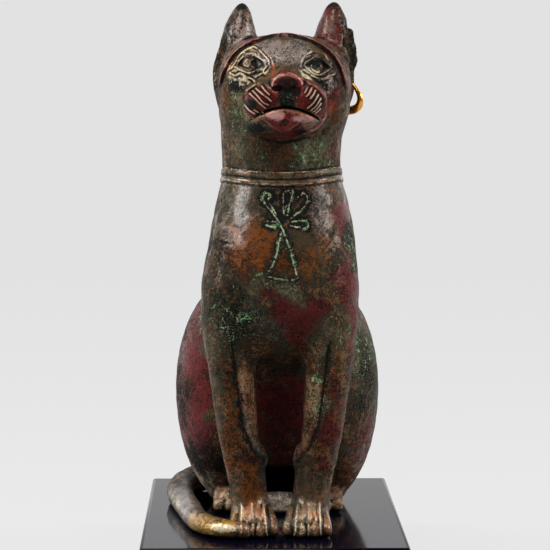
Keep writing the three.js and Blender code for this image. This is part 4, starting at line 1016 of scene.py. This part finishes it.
def paint_forelegs(values, places):
    """A black line down each foreleg, orange outside it, copper inside it, and a grey painted highlight
    along the ridge inside it.
    """
    x, y, z = places.T
    inside = inside_leg_line(np.abs(x), z)
    leg = (y < -19) * ramp(40, 34, z) * ramp(11.5, 14, z)
    tendon_highlight = leg * bump(inside - 1.2, 1.0) * ramp(33, 27, z) * np.where(x < 0, 1.0, 0.6)
    paint(values, patina_black=0.66 * leg * bump(inside + 0.1, 1.1),
          patina_copper=leg * bump(inside - 2.2, 1.6),
          patina_orange=leg * bump(inside + 1.6, 1.1) * np.where(x < 0, 1.0, 0.7),
          patina_grey=0.75 * tendon_highlight, polish=0.45 * tendon_highlight)


def paint_toes(values, places):
    """A pale rib in each gap of the front toes, with painted shade on both sides of it."""
    x, y, z = places.T
    toes = on_toes(y, z)
    gap = np.zeros(len(places))
    rib = np.zeros(len(places))
    for start, slant in toe_gaps:
        beside = np.abs(x) - start - slant * z
        gap = np.maximum(gap, toes * bump(beside, 1.0))
        rib = np.maximum(rib, toes * bump(beside, 0.26))
    paint(values, hollow_dark=0.5 * (gap - rib), pale_line=0.7 * rib)


def paint_foot(values, places):
    """Darker along the slab, and a painted highlight near the tip of the tail."""
    tail_highlight = np.linalg.norm((places - (-10.6, -33.4, 2.2)) / (2.8, 1.6, 0.75), axis=1)
    paint(values, hollow_dark=0.85 * ramp(1.4, 0.2, places[:, 2]),
          pale_line=1.4 * ramp(1.4, 0.5, tail_highlight))


def patina_values(places):
    """The values by which the bronze shader mixes its colours, for each place on the skin."""
    # The patches' outlines wander far on the body and little on the face
    loose = 0.25 + 1.1 * ramp(76, 70, places[:, 2:])
    wandering = places + loose * (strayed(places, 1.0) - places)
    values = {"patina_" + name: strength(wandering, spots) for name, spots in patches.items()}
    values["polish"] = strength(places, polished_places)
    for name in ("scarlet", "rosy_line", "pale_line", "inlay", "hollow_dark"):
        values[name] = np.zeros(len(places))
    for paint_part in (paint_hood, paint_eyes, paint_muzzle, paint_nose, paint_collar, paint_amulet,
                       paint_forelegs, paint_toes, paint_foot):
        paint_part(values, places)
    return values


class Tone:
    """A socket of a shader whose sums and products are written as Python expressions."""

    def __init__(self, tree, socket=None):
        self.tree = tree
        self.socket = socket

    def node(self, kind, sockets, settings=None, out=0):
        """A new node with these inputs and settings, as the tone that it gives."""
        made = self.tree.nodes.new(kind)
        for name, value in (settings or {}).items():
            setattr(made, name, value)
        for name, value in sockets.items():
            if isinstance(value, Tone):
                self.tree.links.new(value.socket, made.inputs[name])
            else:
                made.inputs[name].default_value = value
        return Tone(self.tree, made.outputs[out])

    def maths(self, operation, *values):
        return self.node("ShaderNodeMath", dict(enumerate(values)), {"operation": operation})

    def __add__(self, other):
        return self.maths("ADD", self, other)

    __radd__ = __add__

    def __sub__(self, other):
        return self.maths("SUBTRACT", self, other)

    def __rsub__(self, other):
        return self.maths("SUBTRACT", other, self)

    def __mul__(self, other):
        return self.maths("MULTIPLY", self, other)

    __rmul__ = __mul__

    def greater(self, other):
        """The greater of this value and another."""
        return self.maths("MAXIMUM", self, other)

    def within(self, low, high):
        """This value, kept between a lowest and a highest one."""
        return self.maths("MINIMUM", self.greater(low), high)

    def over(self, low, high):
        """Rises smoothly from 0 to 1 as this value goes from low to high."""
        return self.node("ShaderNodeMapRange", {"Value": self, "From Min": low, "From Max": high},
                         {"interpolation_type": "SMOOTHSTEP"})

    def coloured(self, under, colour):
        """Lays a colour over another as strongly as this value says."""
        sockets = {0: self, 6: under, 7: colour}
        return self.node("ShaderNodeMix", sockets, {"data_type": "RGBA"}, out=2)


def full(colour):
    """A colour as the shaders want it, with an alpha of 1."""
    return (*colour, 1.0)


def new_material(name):
    """An empty material, the start of its tones, and the place on the piece as a tone."""
    material = bpy.data.materials.new(name)
    material.use_nodes = True
    material.node_tree.nodes.clear()
    start = Tone(material.node_tree)
    return material, start, start.node("ShaderNodeTexCoord", {}, out="Object")


def finish_material(start, shader):
    """Makes the shader the one that the material shows."""
    output = start.tree.nodes.new("ShaderNodeOutputMaterial")
    start.tree.links.new(shader.socket, output.inputs["Surface"])


def noise(start, place, scale, detail=4.0, roughness=0.55, distortion=0.0):
    """Cloudy noise from 0 to 1, finer with a greater scale."""
    return start.node("ShaderNodeTexNoise", {
        "Vector": place, "Scale": scale, "Detail": detail, "Roughness": roughness,
        "Distortion": distortion,
    })


class BronzePatina:
    """The bronze's noises and painted values, and the layers of colour made from them."""

    def __init__(self, start, place, look):
        self.start = start
        self.look = look
        self.colour = None
        self.clouds = noise(start, place, 60, 6, 0.62, 0.6) - 0.5
        self.stains = noise(start, place, 170, 7, 0.68, 0.9) - 0.5
        self.grain = noise(start, place, 760, 7, 0.76, 0.3) - 0.5
        self.dust = noise(start, place, 1900, 5, 0.7) - 0.5
        self.veins = noise(start, place, 330, 8, 0.76, 1.4) - 0.5
        self.drift = noise(start, place, 95, 6, 0.66, 1.6) - 0.5
        stretched = start.node("ShaderNodeVectorMath", {0: place, 1: (1.0, 1.0, 0.2)},
                               {"operation": "MULTIPLY"})
        self.streaks = noise(start, stretched, 330, 5, 0.65, 0.4) - 0.5
        self.dots = start.node("ShaderNodeTexVoronoi",
                               {"Vector": place, "Scale": 640.0, "Randomness": 1.0}, out="Distance")
        self.ridge = self.painted("ridge")
        self.polish = self.painted("polish")

    def painted(self, name):
        """The value of this name that was worked out for each place on the skin."""
        return self.start.node("ShaderNodeAttribute", {}, {"attribute_name": name}, out="Fac")

    def lay(self, share, colour):
        """Lays a colour on those before it, as strongly as the share says."""
        self.colour = share.coloured(self.colour, colour if isinstance(colour, Tone) else full(colour))

    def lay_oxides(self):
        """Brown metal, a thin film on it, the coloured oxides, and grey that is partly a painted sheen."""
        look = self.look
        ground = (1.4 * self.clouds + 1.4 * self.stains + 0.8 * self.streaks).over(-0.16, 0.2)
        self.colour = ground.coloured(full(look.umber), full(look.brown))
        self.film = (1.7 * self.drift + 1.2 * self.grain).over(0.0, 0.3) * 0.6
        self.lay(self.film, look.olive)
        copper = self.painted("patina_copper") + 1.6 * self.stains + 1.2 * self.grain
        self.lay(copper.over(0.3, 0.8), look.copper)
        orange = self.painted("patina_orange") + 1.6 * self.stains + 1.2 * self.clouds
        self.orange = (orange + 1.2 * self.streaks + 1.4 * self.grain).over(0.15, 0.9)
        self.lay(self.orange, look.orange)
        red = self.painted("patina_red") + 2.0 * self.clouds + 1.6 * self.drift + 1.6 * self.grain
        self.red = red.over(0.2, 0.8)
        deep = tuple(0.45 * part for part in look.red)
        wine = (2.2 * self.drift + 1.4 * self.grain).over(-0.25, 0.25)
        self.lay(self.red, wine.coloured(full(deep), full(look.red)))
        scarlet = self.painted("scarlet") + 1.6 * self.grain + 1.2 * self.stains
        self.lay(scarlet.over(0.25, 0.8) * 0.85, look.scarlet)
        self.golden = (self.painted("patina_golden") + 1.0 * self.stains).over(0.2, 0.8)
        self.lay(self.golden, look.golden)
        # Grey metal, partly a painted sheen on the brow, the upper chest and the forelegs
        grey = self.painted("patina_grey") + 1.8 * self.stains + 1.4 * self.grain
        self.lay(grey.over(0.3, 0.9) * 0.85, look.grey)

    def lay_pits(self):
        """A thin green film, the pale grains in it, and black pits, pinholes and patches."""
        look = self.look
        pitted = 0.5 * self.clouds + 0.9 * self.drift + 0.16 * self.painted("patina_black")
        pitted = pitted + 0.1 * self.painted("patina_green") - 0.06 * self.red - 0.14 * self.polish
        pits = (1.6 * self.grain + 1.6 * self.dust + 0.8 * self.veins + pitted).over(-0.01, 0.05)
        pinholes = (0.20 - self.dots + 0.8 * pitted + 0.4 * self.stains).over(0.0, 0.06)
        thin = self.painted("patina_green") + 1.6 * self.drift + 2.0 * self.grain
        self.thin = thin.over(0.5, 0.9) * 0.75
        self.lay(self.thin, look.olive)
        light = 0.3 * self.painted("patina_green") + 1.8 * self.dust + 1.7 * self.grain + 0.8 * self.drift
        light = light - 0.2 * self.red - 0.07 * self.orange + 0.1 * self.film - 0.2 * self.golden
        self.lay(light.over(0.095, 0.21) * 0.85, look.lichen)
        black = self.painted("patina_black") + 2.0 * self.veins + 1.3 * self.drift + 1.2 * self.grain
        self.black = black.over(0.52, 0.7).greater(0.92 * pits.greater(pinholes))
        self.lay(self.black, look.black)

    def lay_crusts(self):
        """Specks of malachite, crust of earth, pale worn edges, and pale and rosy lines that are partly
        painted highlights.
        """
        look = self.look
        crusted = self.painted("patina_green")
        crusted = 0.27 * crusted + 0.12 * crusted.over(0.2, 0.6)
        self.specks = (crusted + 1.5 * self.veins + 1.1 * self.dust + 0.8 * self.drift).over(0.46, 0.53)
        verdigris = (2.0 * self.grain + 1.2 * self.stains).over(-0.2, 0.16)
        self.lay(self.specks, verdigris.coloured(full(look.lichen), full(look.green)))
        # Rosy lines and spots: worn copper, and painted highlights on the nose, lip, lids and ridges
        rosy = self.painted("rosy_line") + 1.7 * self.grain + 1.2 * self.stains + 0.8 * self.dust
        self.lay(rosy.over(0.3, 0.85) * 0.85, look.rosy)
        tan = self.painted("patina_tan")
        broken = tan + 2.0 * self.stains + 2.4 * self.grain + 1.4 * self.dust + 0.3 * self.ridge
        self.tan = tan.over(0.0, 0.3) * broken.over(0.62, 0.86) * 0.7
        self.lay(self.tan, look.tan)
        # Pale lines: crust round the eyes and on the toes, and painted highlights on ridges, collar edges
        # and the tail's tip
        pale = self.painted("pale_line")
        broken = pale + 0.1 * self.ridge + 2.6 * self.grain + 1.8 * self.dust + 1.6 * self.stains
        self.lay(pale.over(0.05, 0.3) * broken.over(0.34, 0.54) * 0.85, look.tan)
        worn_edge = self.ridge + 2.4 * self.grain + 1.4 * self.stains - 0.7 * self.painted("patina_black")
        self.lay(worn_edge.over(0.5, 1.1) * 0.5, look.copper)

    def lay_shade_and_inlay(self):
        """Painted shade in hollows and grooves, a few dark spots, and the crust in the amulet's strokes."""
        look = self.look
        # Black laid as painted shade where the skin is sunk, and on a few dark spots
        hollow = self.painted("hollow_dark").greater(self.painted("groove"))
        self.darkened = (hollow + 1.4 * self.grain).over(0.25, 0.7) * 0.92
        self.lay(self.darkened, look.black)
        inlay = self.painted("inlay")
        filled = (inlay + 2.4 * self.veins + 1.8 * self.grain).over(0.28, 0.42)
        self.inlay = inlay.over(0.02, 0.1) * filled
        green_share = (2.0 * self.veins + 1.5 * self.dust + 1.2 * self.stains).over(0.02, 0.16)
        self.lay(self.inlay, green_share.coloured(full(look.tan), full(look.green)))

    def shader(self):
        """The colours on rough crusts and pits, and on metal that hands have rubbed smooth."""
        crust = self.specks.greater((0.6 * self.tan).greater(self.inlay))
        rough = 0.46 + 0.5 * self.grain + 0.2 * self.black + 0.3 * crust + 0.1 * self.thin
        rough = rough - 0.12 * self.ridge - 0.25 * self.polish
        height = 0.9 * self.grain + 0.5 * self.dust + 0.6 * self.stains + 0.45 * crust - 0.4 * self.black
        relief = self.start.node("ShaderNodeBump", {"Strength": 0.75, "Distance": 0.0005, "Height": height})
        coat = 0.30 + 0.45 * self.polish + 0.3 * self.ridge + 0.9 * self.grain - 0.6 * crust
        coat = coat - 0.5 * self.black - 0.3 * self.darkened - 0.12 * self.red
        metal = 0.6 * self.polish + 0.2 * self.golden + 0.4 * self.stains - 0.7 * self.black
        metal = metal - 0.8 * crust - 0.5 * self.darkened
        return self.start.node("ShaderNodeBsdfPrincipled", {
            "Base Color": self.colour, "Roughness": rough.within(0.22, 0.95),
            "Metallic": metal.within(0.0, 0.7), "Coat Weight": coat.within(0.0, 0.95),
            "Coat Roughness": 0.23, "Coat IOR": 1.42, "Normal": relief, "Specular IOR Level": 0.06,
        })


def bronze_material(look):
    """Old bronze whose colours break up by noise where the painted values put them."""
    material, start, place = new_material("old_bronze")
    patina = BronzePatina(start, place, look)
    patina.lay_oxides()
    patina.lay_pits()
    patina.lay_crusts()
    patina.lay_shade_and_inlay()
    finish_material(start, patina.shader())
    return material


def gold_material(look):
    """Gold with faint wear."""
    material, start, place = new_material("polished_gold")
    wear = noise(start, place, 900, 5, 0.6)
    soft = noise(start, place, 260, 3, 0.5)
    deep = (look.colour[0] * 0.55, look.colour[1] * 0.42, look.colour[2] * 0.4)
    colour = soft.over(0.4, 0.7).coloured(full(look.colour), full(deep))
    relief = start.node("ShaderNodeBump", {"Strength": 0.2, "Distance": 0.0002, "Height": wear})
    shader = start.node("ShaderNodeBsdfPrincipled", {
        "Base Color": colour, "Roughness": 0.16 + 0.2 * wear, "Metallic": 1.0, "Normal": relief,
    })
    finish_material(start, shader)
    return material


def stone_material(look):
    """Polished black stone with faint veins."""
    material, start, place = new_material("polished_black_stone")
    wander = noise(start, place, 22, 4, 0.6, 1.5)
    lines = start.maths("ABSOLUTE", wander - 0.5)
    vein = (1 - lines.over(0.0, 0.012)) * noise(start, place, 9, 2).over(0.5, 0.7)
    grain = noise(start, place, 1500, 3, 0.6)
    colour = (0.35 * grain.over(0.5, 0.8)).coloured(full(look.colour), full(look.vein))
    colour = (0.8 * vein).coloured(colour, full(look.vein))
    smear = noise(start, place, 60, 4, 0.6)
    shader = start.node("ShaderNodeBsdfPrincipled", {
        "Base Color": colour, "Roughness": 0.05 + 0.07 * smear + 0.1 * vein,
        "Specular IOR Level": 0.1, "Specular Tint": (0.92, 0.9, 1.0, 1),
    })
    finish_material(start, shader)
    return material


def only(piece):
    """Deselects everything else and makes the piece the active object."""
    bpy.ops.object.select_all(action="DESELECT")
    piece.select_set(True)
    bpy.context.view_layer.objects.active = piece


def apply_modifier(piece, kind, **settings):
    """Adds a modifier with these settings to the piece and applies it."""
    only(piece)
    bpy.ops.object.modifier_add(type=kind)
    modifier = piece.modifiers[-1]
    for name, value in settings.items():
        setattr(modifier, name, value)
    bpy.ops.object.modifier_apply(modifier=modifier.name)


def settle(piece):
    """Puts the piece's place into its mesh."""
    only(piece)
    bpy.ops.object.transform_apply(location=True, rotation=True, scale=True)


def dress(piece, node, material):
    """Gives the piece its material, and its place in the frame for the plain piece of this node."""
    piece.data.materials.clear()
    piece.data.materials.append(material)
    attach(piece, "root")
    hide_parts(node)


def mesh_arrays(mesh):
    """Places, normals and edges of a mesh, each a row of numbers."""
    places = np.empty(3 * len(mesh.vertices))
    mesh.vertices.foreach_get("co", places)
    normals = np.empty(3 * len(mesh.vertices), np.float32)
    mesh.vertex_normals.foreach_get("vector", normals)
    edges = np.empty(2 * len(mesh.edges), np.int32)
    mesh.edges.foreach_get("vertices", edges)
    return places.reshape(-1, 3), normals.reshape(-1, 3).astype(float), edges.reshape(-1, 2)


class BASTET_OT_stage(bpy.types.Operator):
    """Sets up the pale floor and backdrop, the soft boxes and the camera"""
    bl_idname = "bastet.stage"
    bl_label = "Stage"

    def soft_box(self, name, place, target, width, height, power, colour=(1, 1, 1)):
        """A lamp of this size and power that looks at the target."""
        bpy.ops.object.light_add(type="AREA", location=place)
        lamp = bpy.context.object
        lamp.name = name
        lamp.data.shape = "RECTANGLE"
        lamp.data.size = width
        lamp.data.size_y = height
        lamp.data.energy = power
        lamp.data.color = colour
        lamp.visible_camera = False
        lamp.rotation_euler = (Vector(target) - Vector(place)).to_track_quat("-Z", "Y").to_euler()

    def disc(self, context, radius):
        """A flat disc on the floor."""
        bpy.ops.object.select_all(action="DESELECT")
        bpy.ops.mesh.primitive_circle_add(vertices=96, radius=radius, fill_type="NGON", location=(0, 0, 0))
        return context.object

    def backdrop(self, context):
        """A round floor whose edge curves up into a wall."""
        radius = 3.4
        wall = 4
        curve = 1.3
        sweep = self.disc(context, radius)
        sweep.name = "floor_and_backdrop"
        bpy.ops.object.mode_set(mode="EDIT")
        bpy.ops.mesh.extrude_region_move(TRANSFORM_OT_translate={"value": (0, 0, wall)})
        bpy.ops.mesh.delete(type="ONLY_FACE")
        bpy.ops.object.mode_set(mode="OBJECT")
        self.disc(context, radius)
        sweep.select_set(True)
        context.view_layer.objects.active = sweep
        bpy.ops.object.join()
        bpy.ops.object.mode_set(mode="EDIT")
        bpy.ops.mesh.select_all(action="SELECT")
        bpy.ops.mesh.remove_doubles(threshold=1e-5)
        bpy.ops.mesh.select_all(action="DESELECT")
        bpy.ops.object.mode_set(mode="OBJECT")
        # Only the edges round the floor are rounded
        for edge in sweep.data.edges:
            edge.select = all(sweep.data.vertices[i].co.z < 0.01 for i in edge.vertices)
        bpy.ops.object.mode_set(mode="EDIT")
        bpy.ops.mesh.bevel(offset=curve, segments=14)
        bpy.ops.mesh.select_all(action="SELECT")
        bpy.ops.mesh.normals_make_consistent(inside=True)
        bpy.ops.object.mode_set(mode="OBJECT")
        bpy.ops.object.shade_smooth()
        return sweep

    def execute(self, context):
        look = context.scene.bastet_stage
        sweep = self.backdrop(context)
        # The floor and backdrop glow by themselves instead of being lit, fully behind the figure and dimmer
        # towards the front
        material, start, place = new_material("pale_backdrop")
        behind = start.node("ShaderNodeSeparateXYZ", {"Vector": place}, out="Y").over(-1.6, -0.2)
        near = tuple(0.3 * part for part in look.backdrop)
        glow = behind.coloured(full(near), full(look.backdrop))
        shader = start.node("ShaderNodeBsdfPrincipled", {
            "Base Color": (0.04, 0.04, 0.04, 1), "Roughness": 0.95, "Specular IOR Level": 0.0,
            "Emission Color": glow, "Emission Strength": 1.0,
        })
        finish_material(start, shader)
        sweep.data.materials.append(material)

        warm = (1, 0.99, 0.98)
        self.soft_box("soft_box_left", (-1.0, -0.12, 0.72), (0, 0, 0.13), 0.5, 0.5,
                      1.3 * look.side_power, warm)
        self.soft_box("soft_box_right", (1.0, -0.10, 0.72), (0, 0, 0.13), 0.5, 0.5, look.side_power, warm)
        self.soft_box("soft_box_top", (-0.12, -0.42, 1.1), (0, 0, 0.15), 0.45, 0.35, look.top_power)
        for name, side in (("rim_box_left", -1), ("rim_box_right", 1)):
            self.soft_box(name, (side * 0.85, 1.5, 0.35), (0, 0, 0.12), 0.3, 0.9, look.rim_power)

        world = context.scene.world or bpy.data.worlds.new("studio")
        context.scene.world = world
        world.use_nodes = True
        sky = world.node_tree.nodes["Background"].inputs
        sky["Color"].default_value = (0.9, 0.92, 1.0, 1)
        sky["Strength"].default_value = 0.05

        bpy.ops.object.camera_add(location=look.camera_place,
                                  rotation=(math.pi / 2 - look.camera_pitch, 0, -look.camera_yaw))
        camera = context.object
        camera.name = "photo_camera"
        camera.data.sensor_width = 36
        camera.data.lens = look.lens
        camera.data.clip_end = 20
        context.scene.camera = camera
        context.scene.view_settings.view_transform = "Standard"
        context.scene.view_settings.gamma = 0.88
        return {"FINISHED"}


class BASTET_OT_figure(bpy.types.Operator):
    """Sculpts the bronze cat from its plain solid and gives it its patina"""
    bl_idname = "bastet.figure"
    bl_label = "Bronze cat"

    def cut_finer(self, piece, chosen, place, unit):
        """Halves the faces whose middles the chosen test picks, in the figure's shares."""
        mesh = piece.data
        middles = np.empty(3 * len(mesh.polygons))
        mesh.polygons.foreach_get("center", middles)
        pick = chosen(*((middles.reshape(-1, 3) - place) / unit).T)
        only(piece)
        bpy.ops.object.mode_set(mode="EDIT")
        bpy.ops.mesh.select_mode(type="FACE")
        bpy.ops.mesh.select_all(action="DESELECT")
        bpy.ops.object.mode_set(mode="OBJECT")
        mesh.polygons.foreach_set("select", pick)
        bpy.ops.object.mode_set(mode="EDIT")
        bpy.ops.mesh.subdivide(number_cuts=1)
        bpy.ops.object.mode_set(mode="OBJECT")

    def sculpt(self, piece, place, unit, carving):
        """Moves the skin onto the finished form, spaces it evenly and moves it there again."""
        mesh = piece.data
        for step in range(2):
            places, normals, edges = mesh_arrays(mesh)
            places = (places - place) / unit
            # What stands on the slab stays there
            movable = ~((normals[:, 2] < -0.6) & (places[:, 2] < 0.6)) & (places[:, 2] > 0.02)
            if step:
                places = relaxed(places, normals, edges, movable)
            places = onto_form(places, movable, carving)
            mesh.vertices.foreach_set("co", (places * unit + place).ravel())
            mesh.update()

    def bare_copy(self, context):
        """A copy of the plain solid with nothing of the record on it."""
        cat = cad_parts["cat_figure"].copy()
        cat.data = cat.data.copy()
        cat.parent = None
        for key in list(cat.keys()):
            del cat[key]
        cat.name = "bronze_cat"
        context.scene.collection.objects.link(cat)
        return cat

    def renew_skin(self, piece, place, unit, step):
        """Makes the solid one even skin. The ear's hole is filled, the hoop goes through the metal."""
        only(piece)
        bpy.ops.object.mode_set(mode="EDIT")
        bpy.ops.mesh.select_all(action="SELECT")
        bpy.ops.mesh.remove_doubles(threshold=1e-6)
        plug = place + unit * np.array(hole_middle)
        bpy.ops.mesh.primitive_uv_sphere_add(
            segments=16, ring_count=8, radius=hole_radius * unit, location=plug)
        bpy.ops.object.mode_set(mode="OBJECT")
        apply_modifier(piece, "REMESH", mode="VOXEL", voxel_size=step, adaptivity=0)

    def paint_and_thin_out(self, piece, place, unit, most_faces):
        """Works the patina out on the fine skin and keeps it on the thinned-out one."""
        places, normals, edges = mesh_arrays(piece.data)
        places = (places - place) / unit
        painted = patina_values(places)
        bulge = curvature(places, normals, edges)
        # The ridges get pale worn edges; the grooves are darkened in the shader as painted shade
        painted["ridge"] = ramp(0.25, 1.3, bulge)
        painted["groove"] = ramp(0.2, 1.2, -bulge)
        piece.data.calc_loop_triangles()
        share = min(1.0, most_faces / len(piece.data.loop_triangles))
        apply_modifier(piece, "DECIMATE", ratio=share)
        nearest = KDTree(len(places))
        for i, spot in enumerate(places):
            nearest.insert(spot, i)
        nearest.balance()
        kept = (mesh_arrays(piece.data)[0] - place) / unit
        source = np.array([nearest.find(spot)[1] for spot in kept])
        for name, values in painted.items():
            attribute = piece.data.attributes.new(name, "FLOAT", "POINT")
            attribute.data.foreach_set("value", values[source].astype(np.float32))

    def execute(self, context):
        look = context.scene.bastet_figure
        unit = look.height / 100
        place = np.array(look.place)
        cat = self.bare_copy(context)
        self.renew_skin(cat, place, unit, look.skin_step)
        self.sculpt(cat, place, unit, look.carving)
        for chosen in (carved, carved_finest):
            self.cut_finer(cat, chosen, place, unit)
            self.sculpt(cat, place, unit, look.carving)
        self.paint_and_thin_out(cat, place, unit, look.most_faces)
        only(cat)
        bpy.ops.object.shade_smooth()
        dress(cat, "cat_figure", bronze_material(context.scene.bastet_bronze))
        return {"FINISHED"}


class BASTET_OT_hoop(bpy.types.Operator):
    """Bends the gold hoop through the cat's left ear"""
    bl_idname = "bastet.hoop"
    bl_label = "Gold hoop"

    def execute(self, context):
        look = context.scene.bastet_hoop
        figure = context.scene.bastet_figure
        top = Vector(figure.place) + Vector(hoop_top) * figure.height / 100
        across = Vector((math.cos(look.turn), math.sin(look.turn), 0))
        down = Vector((math.sin(look.lean), 0, -math.cos(look.lean)))
        across = (across - down * across.dot(down)).normalized()
        half = (look.height - look.thick / 2 - look.thin / 2) / 2
        bpy.ops.object.select_all(action="DESELECT")
        bpy.ops.curve.primitive_bezier_circle_add(radius=half, location=(0, 0, 0))
        hoop = context.object
        hoop.name = "gold_hoop"
        bpy.ops.object.mode_set(mode="EDIT")
        bpy.ops.curve.select_all(action="SELECT")
        bpy.ops.curve.subdivide(number_cuts=5)
        bpy.ops.object.mode_set(mode="OBJECT")
        points = hoop.data.splines[0].bezier_points
        for i, point in enumerate(points):
            turn = 2 * math.pi * i / len(points)
            # The hoop is narrower at the top, like a pear
            pear = (1 - 0.4 * math.cos(turn)) / 1.08
            point.co = (top + across * (look.breadth / 2 * math.sin(turn) * pear)
                        + down * (half * (1 - math.cos(turn))))
            point.handle_left_type = point.handle_right_type = "AUTO"
            point.radius = mix(look.thin, look.thick, ((1 - math.cos(turn)) / 2) ** 1.6) / look.thick
        hoop.data.bevel_depth = look.thick / 2
        hoop.data.bevel_resolution = 6
        hoop.data.resolution_u = 6
        only(hoop)
        bpy.ops.object.convert(target="MESH")
        bpy.ops.object.mode_set(mode="EDIT")
        bpy.ops.mesh.select_all(action="SELECT")
        bpy.ops.mesh.remove_doubles(threshold=1e-6)
        bpy.ops.mesh.normals_make_consistent(inside=False)
        bpy.ops.object.mode_set(mode="OBJECT")
        bpy.ops.object.shade_smooth()
        settle(hoop)
        dress(hoop, "gold_earring", gold_material(look))
        return {"FINISHED"}


class BASTET_OT_slab(bpy.types.Operator):
    """Cuts and polishes the black stone slab"""
    bl_idname = "bastet.slab"
    bl_label = "Stone slab"

    def execute(self, context):
        look = context.scene.bastet_slab
        low, high = (Vector(corner) for corner in slab_box)
        bpy.ops.object.select_all(action="DESELECT")
        bpy.ops.mesh.primitive_cube_add(size=1, location=(low + high) / 2)
        slab = context.object
        slab.name = "stone_slab"
        slab.scale = high - low
        settle(slab)
        bpy.ops.object.mode_set(mode="EDIT")
        bpy.ops.mesh.select_all(action="SELECT")
        bpy.ops.mesh.bevel(offset=look.edge, segments=4, profile=0.5)
        bpy.ops.mesh.select_mode(type="FACE")
        bpy.ops.mesh.select_all(action="DESELECT")
        bpy.ops.object.mode_set(mode="OBJECT")
        # The flat faces get a narrow border, so that only the rounded edges shade smoothly
        for face in slab.data.polygons:
            face.select = face.area > 1e-3
        bpy.ops.object.mode_set(mode="EDIT")
        bpy.ops.mesh.inset(thickness=look.edge / 2, use_individual=True)
        bpy.ops.object.mode_set(mode="OBJECT")
        bpy.ops.object.shade_smooth_by_angle(angle=math.radians(35))
        dress(slab, "plinth", stone_material(look))
        return {"FINISHED"}


class BASTET_PT_panel(bpy.types.Panel):
    """Lists the pieces of the figure and the sizes and colours that they use"""
    bl_idname = "BASTET_PT_panel"
    bl_label = "Bastet cat"
    bl_space_type = "VIEW_3D"
    bl_region_type = "UI"
    bl_category = "Bastet cat"

    def draw(self, context):
        for title, operator, settings in (
            ("Stage", "bastet.stage", context.scene.bastet_stage),
            ("Bronze cat", "bastet.figure", context.scene.bastet_figure),
            ("Patina", None, context.scene.bastet_bronze),
            ("Gold hoop", "bastet.hoop", context.scene.bastet_hoop),
            ("Stone slab", "bastet.slab", context.scene.bastet_slab),
        ):
            box = self.layout.box()
            box.label(text=title)
            for name in settings.__annotations__:
                box.prop(settings, name)
            if operator:
                box.operator(operator)


settings_groups = {
    "bastet_figure": FigureSettings,
    "bastet_bronze": BronzeSettings,
    "bastet_hoop": HoopSettings,
    "bastet_slab": SlabSettings,
    "bastet_stage": StageSettings,
}
operators = (BASTET_OT_stage, BASTET_OT_figure, BASTET_OT_hoop, BASTET_OT_slab)
classes = (*settings_groups.values(), *operators, BASTET_PT_panel)


def register():
    for entry in classes:
        bpy.utils.register_class(entry)
    for name, group in settings_groups.items():
        setattr(bpy.types.Scene, name, bpy.props.PointerProperty(type=group))


def unregister():
    for name in settings_groups:
        delattr(bpy.types.Scene, name)
    for entry in reversed(classes):
        bpy.utils.unregister_class(entry)


def main():
    """Builds the stage and the pieces with the add-on's own operators."""
    register()
    bpy.ops.bastet.stage()
    bpy.ops.bastet.figure()
    bpy.ops.bastet.hoop()
    bpy.ops.bastet.slab()


if __name__ == "__main__":
    main()
